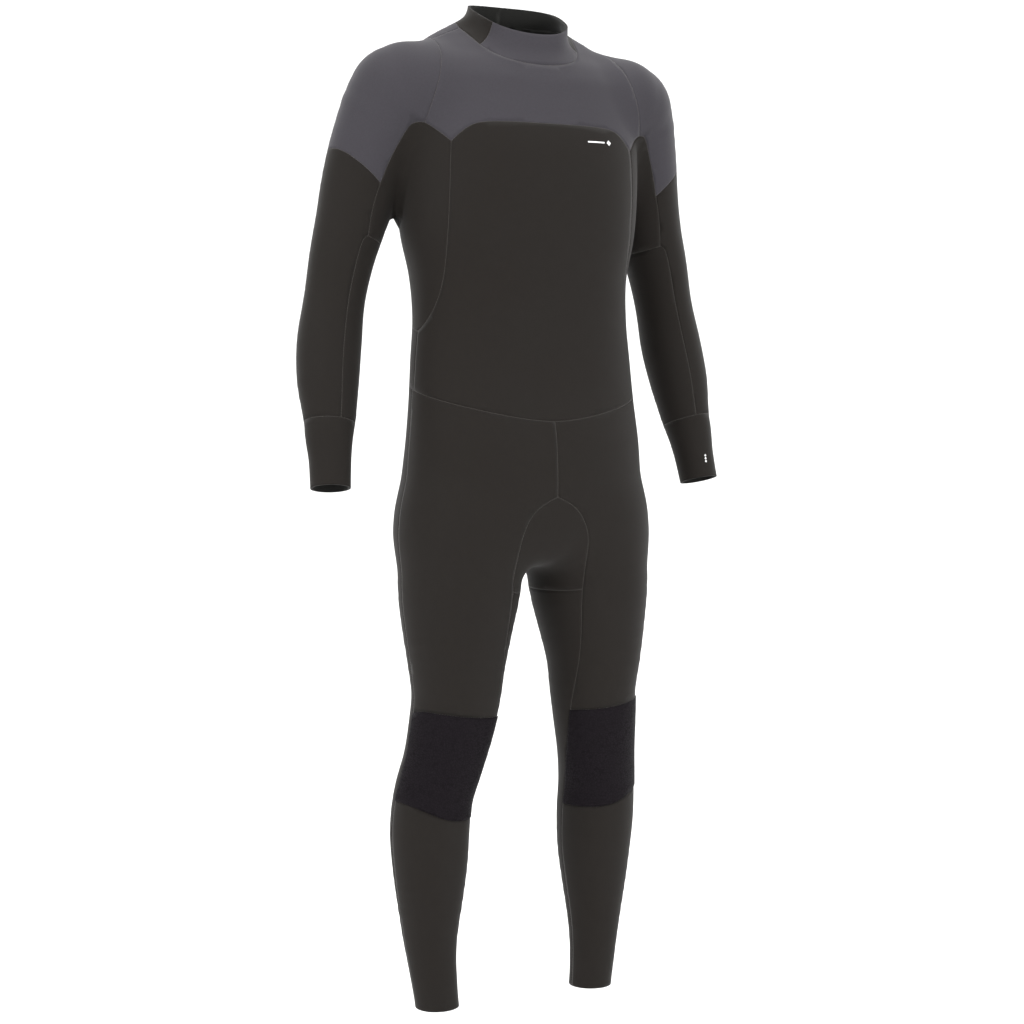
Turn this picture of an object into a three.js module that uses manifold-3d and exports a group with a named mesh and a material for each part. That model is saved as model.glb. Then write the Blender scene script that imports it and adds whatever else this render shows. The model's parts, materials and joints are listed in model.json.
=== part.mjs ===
// A full-length back-zip wetsuit, filled out as it is when worn: neoprene panels cut from one body surface,
// with a curved zip down the spine. Millimetres, +Z up, the wearer faces -Y and the wearer's left is +X.
// The origin is the middle of the neck opening, at the collar's base.
import * as THREE from "three";
import Module from "manifold-3d";

const manifoldKit = await Module();
manifoldKit.setup();

// ---- Driving dimensions ---------------------------------------------------------------------------------------

const SHELL = 3; // neoprene thickness of a panel
const KNEE_SHELL = 4.5; // the knee pads are laminated thicker, on the outside
const RUNNING_GAP = 0.3; // between the butted edges of two panels
const SOFTENING = { arm: 17, leg: 30, crotch: 22, pelvis: 60, neck: 24 }; // blend where limbs meet the trunk

// Heights are above the ankle bones.
const NECK_HEIGHT = 1396; // the collar's base seam, at the sides of the neck
const COLLAR_RISE = 37; // the collar's height at the sides
const COLLAR_BASE = { slope: 0.52, dip: 0.0012, neck: 72, climb: 0.5 }; // rises to the back and up the shoulders
const COLLAR_RIM = { slope: 0.45, dip: 0.002 }; // the same for the collar's top edge
const ANKLE_HEM = -10;
const WRIST_HEM = 747;
const CROTCH = 634;
const CUFF_SEAM = 839;
const WAIST_FRONT = 841; // lowest point of the waist seam, at the front
const WAIST_RISE = 50; // how much higher it is at the sides
const KNEE = 347; // height of the knee's axis
const KNEE_PAD = 156; // height of the knee pad
const ELBOW = 1018;
const ELBOW_ZONE = 174; // stretch of sleeve that bends at the elbow

// The zip lies on an arc, so its slider turns about the arc's centre.
const ZIP = { radius: 600, y: -484, z: 1195, halfWidth: 14, top: 1414, bottom: 985 };
const backProfile = (z) => ZIP.y + Math.sqrt(ZIP.radius ** 2 - (z - ZIP.z) ** 2);

// The trunk: height, half width, front and back, each measured from the body's mid plane.
const TRUNK = [
  [560, 186, -118, 70],
  [600, 188, -122, 80],
  [650, 190, -122, 90],
  [700, 189, -126, 96],
  [750, 185, -128, 94],
  [810, 180, -125, 84],
  [870, 175, -112, 76],
  [930, 171, -104, 75],
  [990, 166, -103, backProfile(990)],
  [1050, 167, -110, backProfile(1050)],
  [1110, 179, -118, backProfile(1110)],
  [1170, 184, -121, backProfile(1170)],
  [1230, 186, -116, backProfile(1230)],
  [1290, 184, -100, backProfile(1290)],
  [1330, 180, -88, backProfile(1330)],
  [1355, 172, -70, backProfile(1355)],
  [1378, 154, -42, backProfile(1378)],
  [1398, 124, -20, backProfile(1398)],
  [1412, 98, -8, backProfile(1412)],
  [1432, 63, -5, 65],
  [1460, 56, -6, 57],
  [1500, 54, -6, 54],
];

// The neck stands in front of the shoulders' ridge: the same columns.
const NECK = [
  [1300, 60, -55, 40],
  [1345, 71, -69, 50],
  [1375, 71, -69, 50],
  [1400, 70, -68, 50],
  [1432, 70, -69, 48],
  [1460, 67, -68, 46],
  [1500, 65, -67, 46],
];

// Centre line and radius of the left leg and the left arm: x, y, height, radius.
const LEG = [
  [98, -22, 690, 88],
  [105, -24, 610, 89],
  [109, -26, 560, 81.5],
  [112, -29, 500, 71],
  [112, -27, 450, 64.5],
  [118, -21, 400, 61],
  [126, -11, 350, 57.5],
  [135, 3, 300, 57],
  [137, 10, 250, 58],
  [136, 12, 200, 55],
  [136, 12, 150, 48.5],
  [136, 12, 100, 41],
  [134, 10, 60, 36],
  [131, 8, 28, 33.5],
  [128, 7, 0, 32],
  [125, 6, -30, 32],
  [122, 5, -62, 32],
];
const ARM = [
  [150, 4, 1306, 74],
  [188, 10, 1301, 68],
  [214, 24, 1246, 61],
  [231, 36, 1185, 56],
  [245, 39, 1128, 51],
  [260, 38, 1075, 46.5],
  [272, 37, 1015, 43.5],
  [282, 32, 955, 46],
  [289, 20, 900, 44],
  [292, 7, 850, 37.5],
  [296, -1, 820, 33.5],
  [298, -9, 790, 30],
  [301, -18, 753, 28.5],
  [304, -27, 715, 28],
  [306, -34, 680, 28],
];

// Seams of the upper body.
const CHEST_ARCH = { halfWidth: 146, top: 1262, rounding: 48, flare: 1040, flareRadius: 125 };
const RAGLAN = { halfWidth: 166, bend: 1290, lean: 0.32 };
const UNDERARM = { inner: 146, sleeve: 188, top: 1262, rounding: 40 };
const SLEEVE_SEAM = { turn: 6, tip: 1174, tipReach: 222, climb: 0.95 }; // degrees towards the body; then the V
const BACK_YOKE = 1206; // the straight seam across the shoulder blades

// Seams of the legs.
const GUSSET = { halfWidth: 56, top: 735, backTop: 690, bottom: 596, rounding: 60 };
const INSEAM = { high: 36, low: 88, from: 596, to: 230 }; // degrees from the front towards the other leg

// ---- Body surface -----------------------------------------------------------------------------------------------

// Smooth minimum and maximum: like min and max, rounded over a width k where the two are close.
function softMin(a, b, k) {
  const h = Math.max(k - Math.abs(a - b), 0) / k;
  return Math.min(a, b) - (h * h * k) / 4;
}
const softMax = (a, b, k) => -softMin(-a, -b, k);
const smooth = (a, b, x) => THREE.MathUtils.smoothstep(x, a, b);

// A row of a table at height z, by Catmull-Rom through its stations. The first column is the height, rising.
function station(table, z) {
  const last = table.length - 1;
  let i = 0;
  while (i < last - 1 && table[i + 1][0] < z) i++;
  const at = (k) => table[THREE.MathUtils.clamp(k, 0, last)];
  const t = THREE.MathUtils.clamp((z - at(i)[0]) / (at(i + 1)[0] - at(i)[0]), 0, 1);
  const between = (c) => {
    const [p, q, r, s] = [at(i - 1)[c], at(i)[c], at(i + 1)[c], at(i + 2)[c]];
    return q + 0.5 * t * (r - p + t * (2 * p - 5 * q + 4 * r - s + t * (3 * (q - r) + s - p)));
  };
  return at(i).map((_, c) => (c ? between(c) : z));
}

// Distance outside the rounded section that a table gives at that height.
function sectionField(table, p) {
  const [, half, front, back] = station(table, p.z);
  const y = p.y - (front + back) / 2;
  const depth = (back - front) / 2;
  const roundness = 2.25;
  const reach = (Math.abs(p.x / half) ** roundness + Math.abs(y / depth) ** roundness) ** (1 / roundness);
  return (reach - 1) * Math.min(half, depth);
}

function trunkField(p) {
  const side = sectionField(TRUNK, p);
  if (p.z > 1300) return softMin(side, sectionField(NECK, p), SOFTENING.neck);
  return softMax(side, CROTCH - p.z, SOFTENING.pelvis); // the pelvis is rounded off at the crotch
}

// A limb is a smooth centre line, sampled with its radius, its direction and the way to the body's middle.
function limb(table, samples) {
  const curve = new THREE.CatmullRomCurve3(table.map(([x, y, z]) => new THREE.Vector3(x, y, z)));
  const heights = table.map(([, , z, r]) => [z, r]).sort((a, b) => a[0] - b[0]);
  const points = [];
  for (let i = 0; i <= samples; i++) {
    const centre = curve.getPoint(i / samples);
    const along = curve.getTangent(i / samples);
    const inward = new THREE.Vector3(-1, 0, 0).addScaledVector(along, along.x).normalize();
    const forward = new THREE.Vector3().crossVectors(inward, along).normalize();
    if (forward.y > 0) forward.negate();
    points.push({ centre, along, inward, forward, radius: station(heights, centre.z)[1] });
  }
  return points;
}
const legLine = limb(LEG, 60);
const armLine = limb(ARM, 60);

// Where p lies on the left limb: its distance outside the skin, and its place across the limb in millimetres.
function onLimb(line, p) {
  let best = Infinity;
  let found = line[0];
  const away = new THREE.Vector3();
  for (let i = 0; i + 1 < line.length; i++) {
    const [a, b] = [line[i], line[i + 1]];
    const [sx, sy, sz] = [b.centre.x - a.centre.x, b.centre.y - a.centre.y, b.centre.z - a.centre.z];
    const [px, py, pz] = [p.x - a.centre.x, p.y - a.centre.y, p.z - a.centre.z];
    const t = THREE.MathUtils.clamp((px * sx + py * sy + pz * sz) / (sx * sx + sy * sy + sz * sz), 0, 1);
    const [dx, dy, dz] = [px - t * sx, py - t * sy, pz - t * sz];
    const field = Math.hypot(dx, dy, dz) - a.radius - t * (b.radius - a.radius);
    if (field >= best) continue;
    best = field;
    found = a;
    away.set(dx, dy, dz);
  }
  return { field: best, inward: away.dot(found.inward), forward: away.dot(found.forward) };
}

const mirrored = (p) => new THREE.Vector3(Math.abs(p.x), p.y, p.z);
function bodyField(p) {
  const here = mirrored(p);
  const across = new THREE.Vector3(-here.x, here.y, here.z);
  let legs = Infinity;
  if (p.z < 800) legs = softMin(onLimb(legLine, here).field, onLimb(legLine, across).field, SOFTENING.crotch);
  let body = p.z < 520 ? legs : softMin(trunkField(here), legs, SOFTENING.leg);
  if (p.z > 690 && here.x > 90) body = softMin(body, onLimb(armLine, here).field, SOFTENING.arm);
  return body;
}

function gradient(p, step = 0.5) {
  const slope = new THREE.Vector3();
  for (const axis of ["x", "y", "z"]) {
    const [a, b] = [p.clone(), p.clone()];
    a[axis] += step;
    b[axis] -= step;
    slope[axis] = (bodyField(a) - bodyField(b)) / (2 * step);
  }
  return slope;
}

// Moves p onto the body surface, straight along the field's slope.
function toSurface(p, rounds = 2) {
  for (let i = 0; i < rounds; i++) {
    const slope = gradient(p);
    p.addScaledVector(slope, -bodyField(p) / Math.max(slope.lengthSq(), 1e-6));
  }
  return p;
}

// ---- The skin as a mesh of four-sided faces ---------------------------------------------------------------------

// One vertex in each grid cell that the surface crosses, and a face round each grid edge that it crosses.
function wrapSurface(low, high, cell) {
  const count = ["x", "y", "z"].map((k) => Math.round((high[k] - low[k]) / cell[k]) + 1);
  const index = (i, j, k) => (k * count[1] + j) * count[0] + i;
  const at = (i, j, k) =>
    new THREE.Vector3(low.x + i * cell.x, low.y + j * cell.y, low.z + k * cell.z);
  const value = new Float64Array(count[0] * count[1] * count[2]);
  const everyNode = (visit) => {
    for (let k = 0; k < count[2]; k++)
      for (let j = 0; j < count[1]; j++) for (let i = 0; i < count[0]; i++) visit(i, j, k);
  };
  everyNode((i, j, k) => (value[index(i, j, k)] = bodyField(at(i, j, k))));
  const vertices = [];
  const owner = new Map();
  everyNode((i, j, k) => {
    if (i + 1 >= count[0] || j + 1 >= count[1] || k + 1 >= count[2]) return;
    const middle = new THREE.Vector3();
    let crossings = 0;
    const corner = (c) => [i + (c & 1), j + ((c >> 1) & 1), k + ((c >> 2) & 1)];
    for (let a = 0; a < 8; a++)
      for (const bit of [1, 2, 4]) {
        if (a & bit) continue;
        const [from, to] = [corner(a), corner(a | bit)];
        const [va, vb] = [value[index(...from)], value[index(...to)]];
        if (va < 0 === vb < 0) continue;
        middle.add(at(...from).lerp(at(...to), va / (va - vb)));
        crossings++;
      }
    if (!crossings) return;
    owner.set(index(i, j, k), vertices.length);
    vertices.push(middle.divideScalar(crossings));
  });
  const faces = [];
  const rounds = [[1, 0, 0, 0, 1, 0, 0, 0, 1], [0, 1, 0, 0, 0, 1, 1, 0, 0], [0, 0, 1, 1, 0, 0, 0, 1, 0]];
  everyNode((i, j, k) => {
    for (const [ex, ey, ez, ux, uy, uz, vx, vy, vz] of rounds) {
      if (i + ex >= count[0] || j + ey >= count[1] || k + ez >= count[2]) continue;
      if (i < ux + vx || j < uy + vy || k < uz + vz) continue;
      const inside = value[index(i, j, k)] < 0;
      if (inside === value[index(i + ex, j + ey, k + ez)] < 0) continue;
      const cells = [
        index(i, j, k),
        index(i - ux, j - uy, k - uz),
        index(i - ux - vx, j - uy - vy, k - uz - vz),
        index(i - vx, j - vy, k - vz),
      ];
      const loop = cells.map((c) => owner.get(c));
      if (loop.some((v) => v === undefined)) continue;
      faces.push(inside ? loop : loop.reverse());
    }
  });
  return { vertices, faces };
}

// Evens out the faces: each vertex moves towards the middle of its neighbours and back onto the surface.
function relax(mesh, rounds) {
  const around = mesh.vertices.map(() => new Set());
  for (const loop of mesh.faces)
    loop.forEach((v, n) => {
      const next = loop[(n + 1) % loop.length];
      around[v].add(next);
      around[next].add(v);
    });
  for (let r = 0; r < rounds; r++) {
    const moved = mesh.vertices.map((p, v) => {
      const middle = new THREE.Vector3();
      around[v].forEach((n) => middle.add(mesh.vertices[n]));
      return p.clone().lerp(middle.divideScalar(around[v].size), 0.6);
    });
    moved.forEach((p, v) => mesh.vertices[v].copy(toSurface(p, 1)));
  }
  mesh.vertices.forEach((p) => toSurface(p, 2));
}

const centreOf = (mesh, loop) =>
  loop.reduce((sum, v) => sum.add(mesh.vertices[v]), new THREE.Vector3()).divideScalar(loop.length);

// Cuts the faces that `where` picks along the line where `seam` is zero. Vertices near the line move onto it,
// unless an earlier seam holds them, and a face beyond the cut's end keeps the new vertex on its edge.
function cut(mesh, seam, where = () => true) {
  const chosen = new Set(mesh.faces.filter((loop) => where(centreOf(mesh, loop))));
  const side = new Map();
  for (const loop of chosen) for (const v of loop) side.set(v, seam(mesh.vertices[v]));
  const edges = new Map();
  for (const loop of chosen)
    loop.forEach((a, n) => {
      const b = loop[(n + 1) % loop.length];
      edges.set(Math.min(a, b) + "_" + Math.max(a, b), [Math.min(a, b), Math.max(a, b)]);
    });
  const NEAR = 0.24;
  for (const [a, b] of edges.values()) {
    const [sa, sb] = [side.get(a), side.get(b)];
    if (sa * sb >= 0) continue;
    const t = sa / (sa - sb);
    const v = t < NEAR ? a : t > 1 - NEAR ? b : null;
    if (v === null) continue;
    if (!mesh.held.has(v)) {
      mesh.vertices[v].lerpVectors(mesh.vertices[a], mesh.vertices[b], t);
      toSurface(mesh.vertices[v]);
    }
    side.set(v, 0);
  }
  const added = new Map();
  for (const [key, [a, b]] of edges) {
    const [sa, sb] = [side.get(a), side.get(b)];
    if (sa * sb >= 0) continue;
    const p = mesh.vertices[a].clone().lerp(mesh.vertices[b], sa / (sa - sb));
    if (!(mesh.held.has(a) && mesh.held.has(b))) toSurface(p);
    side.set(mesh.vertices.length, 0);
    added.set(key, mesh.vertices.length);
    mesh.vertices.push(p);
  }
  const result = [];
  for (const old of mesh.faces) {
    const loop = [];
    old.forEach((a, n) => {
      const b = old[(n + 1) % old.length];
      loop.push(a);
      const key = Math.min(a, b) + "_" + Math.max(a, b);
      if (added.has(key)) loop.push(added.get(key));
    });
    const parts = chosen.has(old) ? splitLoop(loop, side) : [loop];
    result.push(...parts);
  }
  for (const [v, s] of side) if (s === 0) mesh.held.add(v);
  mesh.faces = result;
}

// A loop in two where two of its on-line vertices part the positive side from the negative one.
function splitLoop(loop, side) {
  const sign = (v) => Math.sign(side.get(v));
  const count = loop.length;
  for (let a = 0; a < count; a++)
    for (let b = a + 2; b < count; b++) {
      if (a === 0 && b === count - 1) continue;
      if (sign(loop[a]) !== 0 || sign(loop[b]) !== 0) continue;
      const one = loop.slice(a, b + 1);
      const two = [...loop.slice(b), ...loop.slice(0, a + 1)];
      const [s, t] = [one, two].map((part) => new Set(part.map(sign).filter(Boolean)));
      if (s.size === 1 && t.size >= 1 && !(t.size === 1 && [...t][0] === [...s][0]))
        return t.size === 1 ? [one, two] : [one, ...splitLoop(two, side)];
      if (t.size === 1 && s.size > 1) return [two, ...splitLoop(one, side)];
    }
  return [loop];
}

// ---- Seam lines ---------------------------------------------------------------------------------------------------
// Each is a signed distance, zero on the seam.

const fromFront = (p) => Math.atan2(Math.abs(p.x), -p.y);
const waist = (p) => p.z - WAIST_FRONT - WAIST_RISE * (1 - Math.max(Math.cos(fromFront(p)), -0.17));
const collarRim = (p) => p.z - NECK_HEIGHT - COLLAR_RISE - (COLLAR_RIM.slope - COLLAR_RIM.dip * p.y) * p.y;
function collarBase(p) {
  const shoulder = COLLAR_BASE.climb * Math.max(Math.abs(p.x) - COLLAR_BASE.neck, 0);
  return p.z - NECK_HEIGHT - (COLLAR_BASE.slope - COLLAR_BASE.dip * p.y) * p.y - shoulder;
}
const wristHem = (p) => alongArm(p, WRIST_HEM);
const cuffSeam = (p) => alongArm(p, CUFF_SEAM);
const sideSeam = (p) => p.y + 18;
const ankleHem = (p) => p.z - ANKLE_HEM;

// Distance above the arm's section whose centre is at that height.
function alongArm(p, height) {
  const at = armLine.reduce((a, b) =>
    Math.abs(b.centre.z - height) < Math.abs(a.centre.z - height) ? b : a,
  );
  return -mirrored(p).sub(at.centre).dot(at.along) + (at.centre.z - height) * at.along.z;
}

function chestArch(p) {
  const flare = Math.max(CHEST_ARCH.flare - p.z, 0) ** 2 / (2 * CHEST_ARCH.flareRadius);
  const side = Math.abs(p.x) - CHEST_ARCH.halfWidth - flare;
  return softMax(side, p.z - CHEST_ARCH.top, CHEST_ARCH.rounding);
}
const princess = (p) =>
  Math.abs(p.x) - UNDERARM.inner - Math.max(CHEST_ARCH.flare - p.z, 0) ** 2 / (2 * CHEST_ARCH.flareRadius);
const raglan = (p) => Math.abs(p.x) - RAGLAN.halfWidth + RAGLAN.lean * (p.z - RAGLAN.bend);

// Positive on the outer side of the sleeve's front and back seams.
function sleeveSeam(p) {
  const at = onLimb(armLine, mirrored(p));
  return Math.sin(THREE.MathUtils.degToRad(SLEEVE_SEAM.turn)) * Math.abs(at.forward) - at.inward;
}
const sleeveTop = (p) => p.z - SLEEVE_SEAM.tip - SLEEVE_SEAM.climb * (Math.abs(p.x) - SLEEVE_SEAM.tipReach);
function underarm(p) {
  const inner = UNDERARM.inner - Math.abs(p.x);
  const side = Math.abs(p.x) < UNDERARM.sleeve ? inner : softMax(inner, sleeveSeam(p), UNDERARM.rounding);
  return softMax(side, p.z - UNDERARM.top, UNDERARM.rounding);
}
const gusset = (p) => {
  const top = THREE.MathUtils.lerp(GUSSET.top, GUSSET.backTop, smooth(-60, 60, p.y));
  return softMax(Math.abs(p.x) - GUSSET.halfWidth, p.z - top, GUSSET.rounding);
};
const gussetEnd = (p) => GUSSET.bottom - p.z;
const kneeTop = (p) => p.z - KNEE - KNEE_PAD / 2 - 0.12 * (Math.abs(p.x) - 118);
const kneeBottom = (p) => p.z - KNEE + KNEE_PAD / 2 - 28 * smooth(125, 190, Math.abs(p.x));

// Positive in front of the inseam, which turns from the front of the thigh to the inside of the calf.
function inseam(p) {
  const at = onLimb(legLine, mirrored(p));
  const turn = THREE.MathUtils.lerp(INSEAM.low, INSEAM.high, smooth(INSEAM.to, INSEAM.from, p.z));
  const angle = THREE.MathUtils.degToRad(turn);
  return Math.sin(angle) * at.forward - Math.cos(angle) * at.inward;
}
function outseam(p) {
  const at = onLimb(legLine, mirrored(p));
  return at.forward + 4;
}

// ---- Cutting the skin into panels -------------------------------------------------------------------------------

const CELL = { x: 24, y: 24, z: 35 };
const isArm = (p) => p.z < 1130 && Math.abs(p.x) > 183 + (1130 - p.z) * 0.1;
const isTrunk = (p) => !isArm(p) && p.z > 780;
const collarTurn = (p) => fromFront(p) - THREE.MathUtils.lerp(1.12, 0.96, collarBase(p) / COLLAR_RISE);
const zipSlot = (p) => Math.abs(p.x) - ZIP.halfWidth;
const aboveElbow = (p) => alongArm(p, ELBOW + ELBOW_ZONE / 2);
const belowElbow = (p) => alongArm(p, ELBOW - ELBOW_ZONE / 2);

const NECK_REACH = 140; // wider than the collar's base, narrower than the shoulders

const skin = wrapSurface(
  new THREE.Vector3(-372, -186, -115),
  new THREE.Vector3(372, 174, 1530),
  new THREE.Vector3(CELL.x, CELL.y, CELL.z),
);
skin.held = new Set();
// More corners round the wrist, where the grid is coarse for so thin a tube.
const wristSides = (p) => onLimb(armLine, mirrored(p)).inward;
cut(skin, wristSides, (p) => isArm(p) && p.z < CUFF_SEAM);
skin.held.clear();
relax(skin, 12);

// Cuts the open ends and drops what lies beyond them.
function trim(seam, where) {
  cut(skin, seam, where);
  skin.faces = skin.faces.filter((loop) => {
    const c = centreOf(skin, loop);
    return !where(c) || seam(c) > 0;
  });
}
trim((p) => -collarRim(p), (p) => p.z > 1330 && Math.abs(p.x) < NECK_REACH);
trim(wristHem, isArm);
trim(ankleHem, (p) => p.z < 120);

const waistCloth = (p) => isTrunk(p) && Math.abs(waist(p)) < 90;
const below = (p) => !isArm(p) && waist(p) < 0;
const above = (p) => isTrunk(p) && waist(p) > 0 && collarBase(p) < 0;
cut(skin, collarBase, (p) => p.z > 1320 && Math.abs(p.x) < NECK_REACH);
cut(skin, (p) => p.x, (p) => collarBase(p) > 0 && p.y > 0);
cut(skin, collarTurn, (p) => collarBase(p) > 0);
cut(skin, waist, waistCloth);
cut(skin, aboveElbow, (p) => p.z < 1180 && Math.abs(p.x) > 183 + (1130 - p.z) * 0.1 && p.z > 1040);
cut(skin, belowElbow, isArm);
cut(skin, cuffSeam, isArm);
cut(skin, chestArch, (p) => above(p) && p.y < -20);
cut(skin, underarm, (p) => above(p) && p.z > 1040 && (p.y > -20 || chestArch(p) > 0) && aboveElbow(p) > 0);
cut(skin, princess, (p) => above(p) && p.y > -20 && p.z < 1120);
cut(skin, sideSeam, (p) => above(p) && p.z < 1040 && princess(p) < 0);
cut(skin, sleeveSeam, (p) => isArm(p) && aboveElbow(p) < 0 && cuffSeam(p) > 0);
const shoulder = (p) => p.z > 1130 && underarm(p) > 0 && collarBase(p) < 0 && (p.y > -20 || chestArch(p) > 0);
cut(skin, raglan, (p) => shoulder(p) && p.z > 1200);
cut(skin, sleeveTop, (p) => (shoulder(p) && raglan(p) > 0) || (isArm(p) && aboveElbow(p) > 0));
cut(skin, (p) => p.y - 6, (p) => shoulder(p) && raglan(p) < 0 && p.z > 1320);
cut(skin, (p) => p.z - BACK_YOKE, (p) => shoulder(p) && p.y > 0 && raglan(p) < 0);
cut(skin, zipSlot, (p) => above(p) && p.y > 0 && p.z > ZIP.bottom - 30);

// ---- Panels -------------------------------------------------------------------------------------------------------

const front = (p) => {
  const at = onLimb(legLine, mirrored(p));
  if (at.inward < 0) return outseam(p) > 0;
  return p.z > GUSSET.bottom ? p.y < -10 : inseam(p) > 0;
};
const trouser = (p) => below(p) && !(gusset(p) < 0 && gussetEnd(p) < 0);
cut(skin, gusset, (p) => below(p) && p.z > GUSSET.bottom - 40);
cut(skin, gussetEnd, (p) => below(p) && gusset(p) < 20);
cut(skin, (p) => p.x, (p) => trouser(p) && p.z > 650);
cut(skin, outseam, (p) => trouser(p) && onLimb(legLine, mirrored(p)).inward < 0);
cut(skin, inseam, (p) => trouser(p) && p.z < GUSSET.bottom && onLimb(legLine, mirrored(p)).inward > 0);
cut(skin, kneeTop, (p) => trouser(p));
cut(skin, kneeBottom, (p) => trouser(p));

// The panel that a face belongs to, without its side.
function panelOf(p) {
  if (isArm(p) || (aboveElbow(p) < 0 && p.z > 1000 && Math.abs(p.x) > 190)) {
    const part = sleeveSeam(p) > 0 ? "outer" : "inner";
    if (cuffSeam(p) < 0) return "cuff";
    if (belowElbow(p) < 0) return "forearm_" + part;
    if (aboveElbow(p) < 0) return "elbow_" + part;
  }
  if (waist(p) < 0 && !isArm(p)) {
    if (gusset(p) < 0 && gussetEnd(p) < 0) return "crotch_gusset";
    if (kneeTop(p) > 0) return front(p) ? "thigh_front" : "thigh_back";
    if (kneeBottom(p) > 0) return front(p) ? "knee_pad" : "knee_back";
    return front(p) ? "shin" : "calf";
  }
  if (collarBase(p) > 0) return collarTurn(p) < 0 ? "collar_front" : "collar_back";
  if (p.y < -18 && chestArch(p) < 0 && !isArm(p)) return "front_body";
  if (p.z > 1120 ? underarm(p) < 0 : princess(p) > 0 && !isArm(p)) return "underarm_panel";
  if (isArm(p) && underarm(p) < 0) return "underarm_panel";
  if (raglan(p) > 0 && p.z > 1120) return sleeveTop(p) > 0 ? "shoulder_sleeve" : "upper_sleeve";
  if (isArm(p)) return "upper_sleeve";
  if (p.y < 6 && p.z > 1200) return "chest_yoke";
  return p.z > BACK_YOKE ? "back_yoke" : p.y < -18 ? "front_body" : "back_body";
}
const ONE_PIECE = ["collar_front", "front_body", "chest_yoke", "back_body", "crotch_gusset"];

const panels = new Map();
for (const loop of skin.faces) {
  const c = centreOf(skin, loop);
  if (c.y > 0 && zipSlot(c) < 0 && c.z > ZIP.bottom && collarBase(c) < 0) continue; // the opening over the zip
  const kind = panelOf(c);
  const name = ONE_PIECE.includes(kind) ? kind : kind + (c.x > 0 ? "_left" : "_right");
  if (!panels.has(name)) panels.set(name, []);
  panels.get(name).push(loop);
}

// ---- Shells -------------------------------------------------------------------------------------------------------

const MATERIALS = {
  grey_neoprene: { color: 0x4e4c52, roughness: 0.8 },
  black_neoprene: { color: 0x2b2826, roughness: 0.85 },
  knee_rubber: { color: 0x242527, roughness: 0.6 },
  zip_tape: { color: 0x1b1b1d, roughness: 0.9 },
  zip_plastic: { color: 0x151516, roughness: 0.5 },
  velcro: { color: 0x17171a, roughness: 1 },
};
const SLOTS = {
  collar_front: "grey_neoprene",
  chest_yoke: "grey_neoprene",
  back_yoke: "grey_neoprene",
  shoulder_sleeve: "grey_neoprene",
  knee_pad: "knee_rubber",
};
const suit = new THREE.Group();
const ORIGIN = new THREE.Vector3(0, 0, NECK_HEIGHT);

// Adds one closed body under its name. Triangles are rows of three points, seen anticlockwise from outside.
function addBody(name, slot, triangles) {
  const flat = triangles.flatMap((t) => t.flatMap((p) => p.clone().sub(ORIGIN).toArray()));
  const geometry = new THREE.BufferGeometry();
  geometry.setAttribute("position", new THREE.Float32BufferAttribute(flat, 3));
  geometry.computeVertexNormals();
  const mesh = new THREE.Mesh(geometry, new THREE.MeshStandardMaterial(MATERIALS[slot]));
  mesh.name = name;
  suit.add(mesh);
}

function faceNormal(loop, at) {
  const normal = new THREE.Vector3();
  for (let n = 1; n + 1 < loop.length; n++) {
    const [u, v] = [at(loop[n]).clone().sub(at(loop[0])), at(loop[n + 1]).clone().sub(at(loop[0]))];
    normal.add(u.cross(v));
  }
  return normal.normalize();
}

// Triangles of one face, chosen so that the thinnest of them is as stout as it can be.
function triangulate(loop, at) {
  const normal = faceNormal(loop, at);
  const stoutness = (a, b, c) => {
    const [ab, ac, bc] = [at(b).clone().sub(at(a)), at(c).clone().sub(at(a)), at(c).clone().sub(at(b))];
    const longest = Math.max(ab.lengthSq(), ac.lengthSq(), bc.lengthSq());
    return ab.cross(ac).dot(normal) / longest;
  };
  const known = new Map();
  const best = (i, j) => {
    if (j - i < 2) return { worst: Infinity, triangles: [] };
    const key = i * loop.length + j;
    if (known.has(key)) return known.get(key);
    let pick = { worst: -Infinity, triangles: [] };
    for (let k = i + 1; k < j; k++) {
      const [left, right] = [best(i, k), best(k, j)];
      const worst = Math.min(left.worst, right.worst, stoutness(loop[i], loop[k], loop[j]));
      if (worst <= pick.worst) continue;
      pick = { worst, triangles: [...left.triangles, ...right.triangles, [loop[i], loop[k], loop[j]]] };
    }
    known.set(key, pick);
    return pick;
  };
  return best(0, loop.length - 1).triangles;
}

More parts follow.
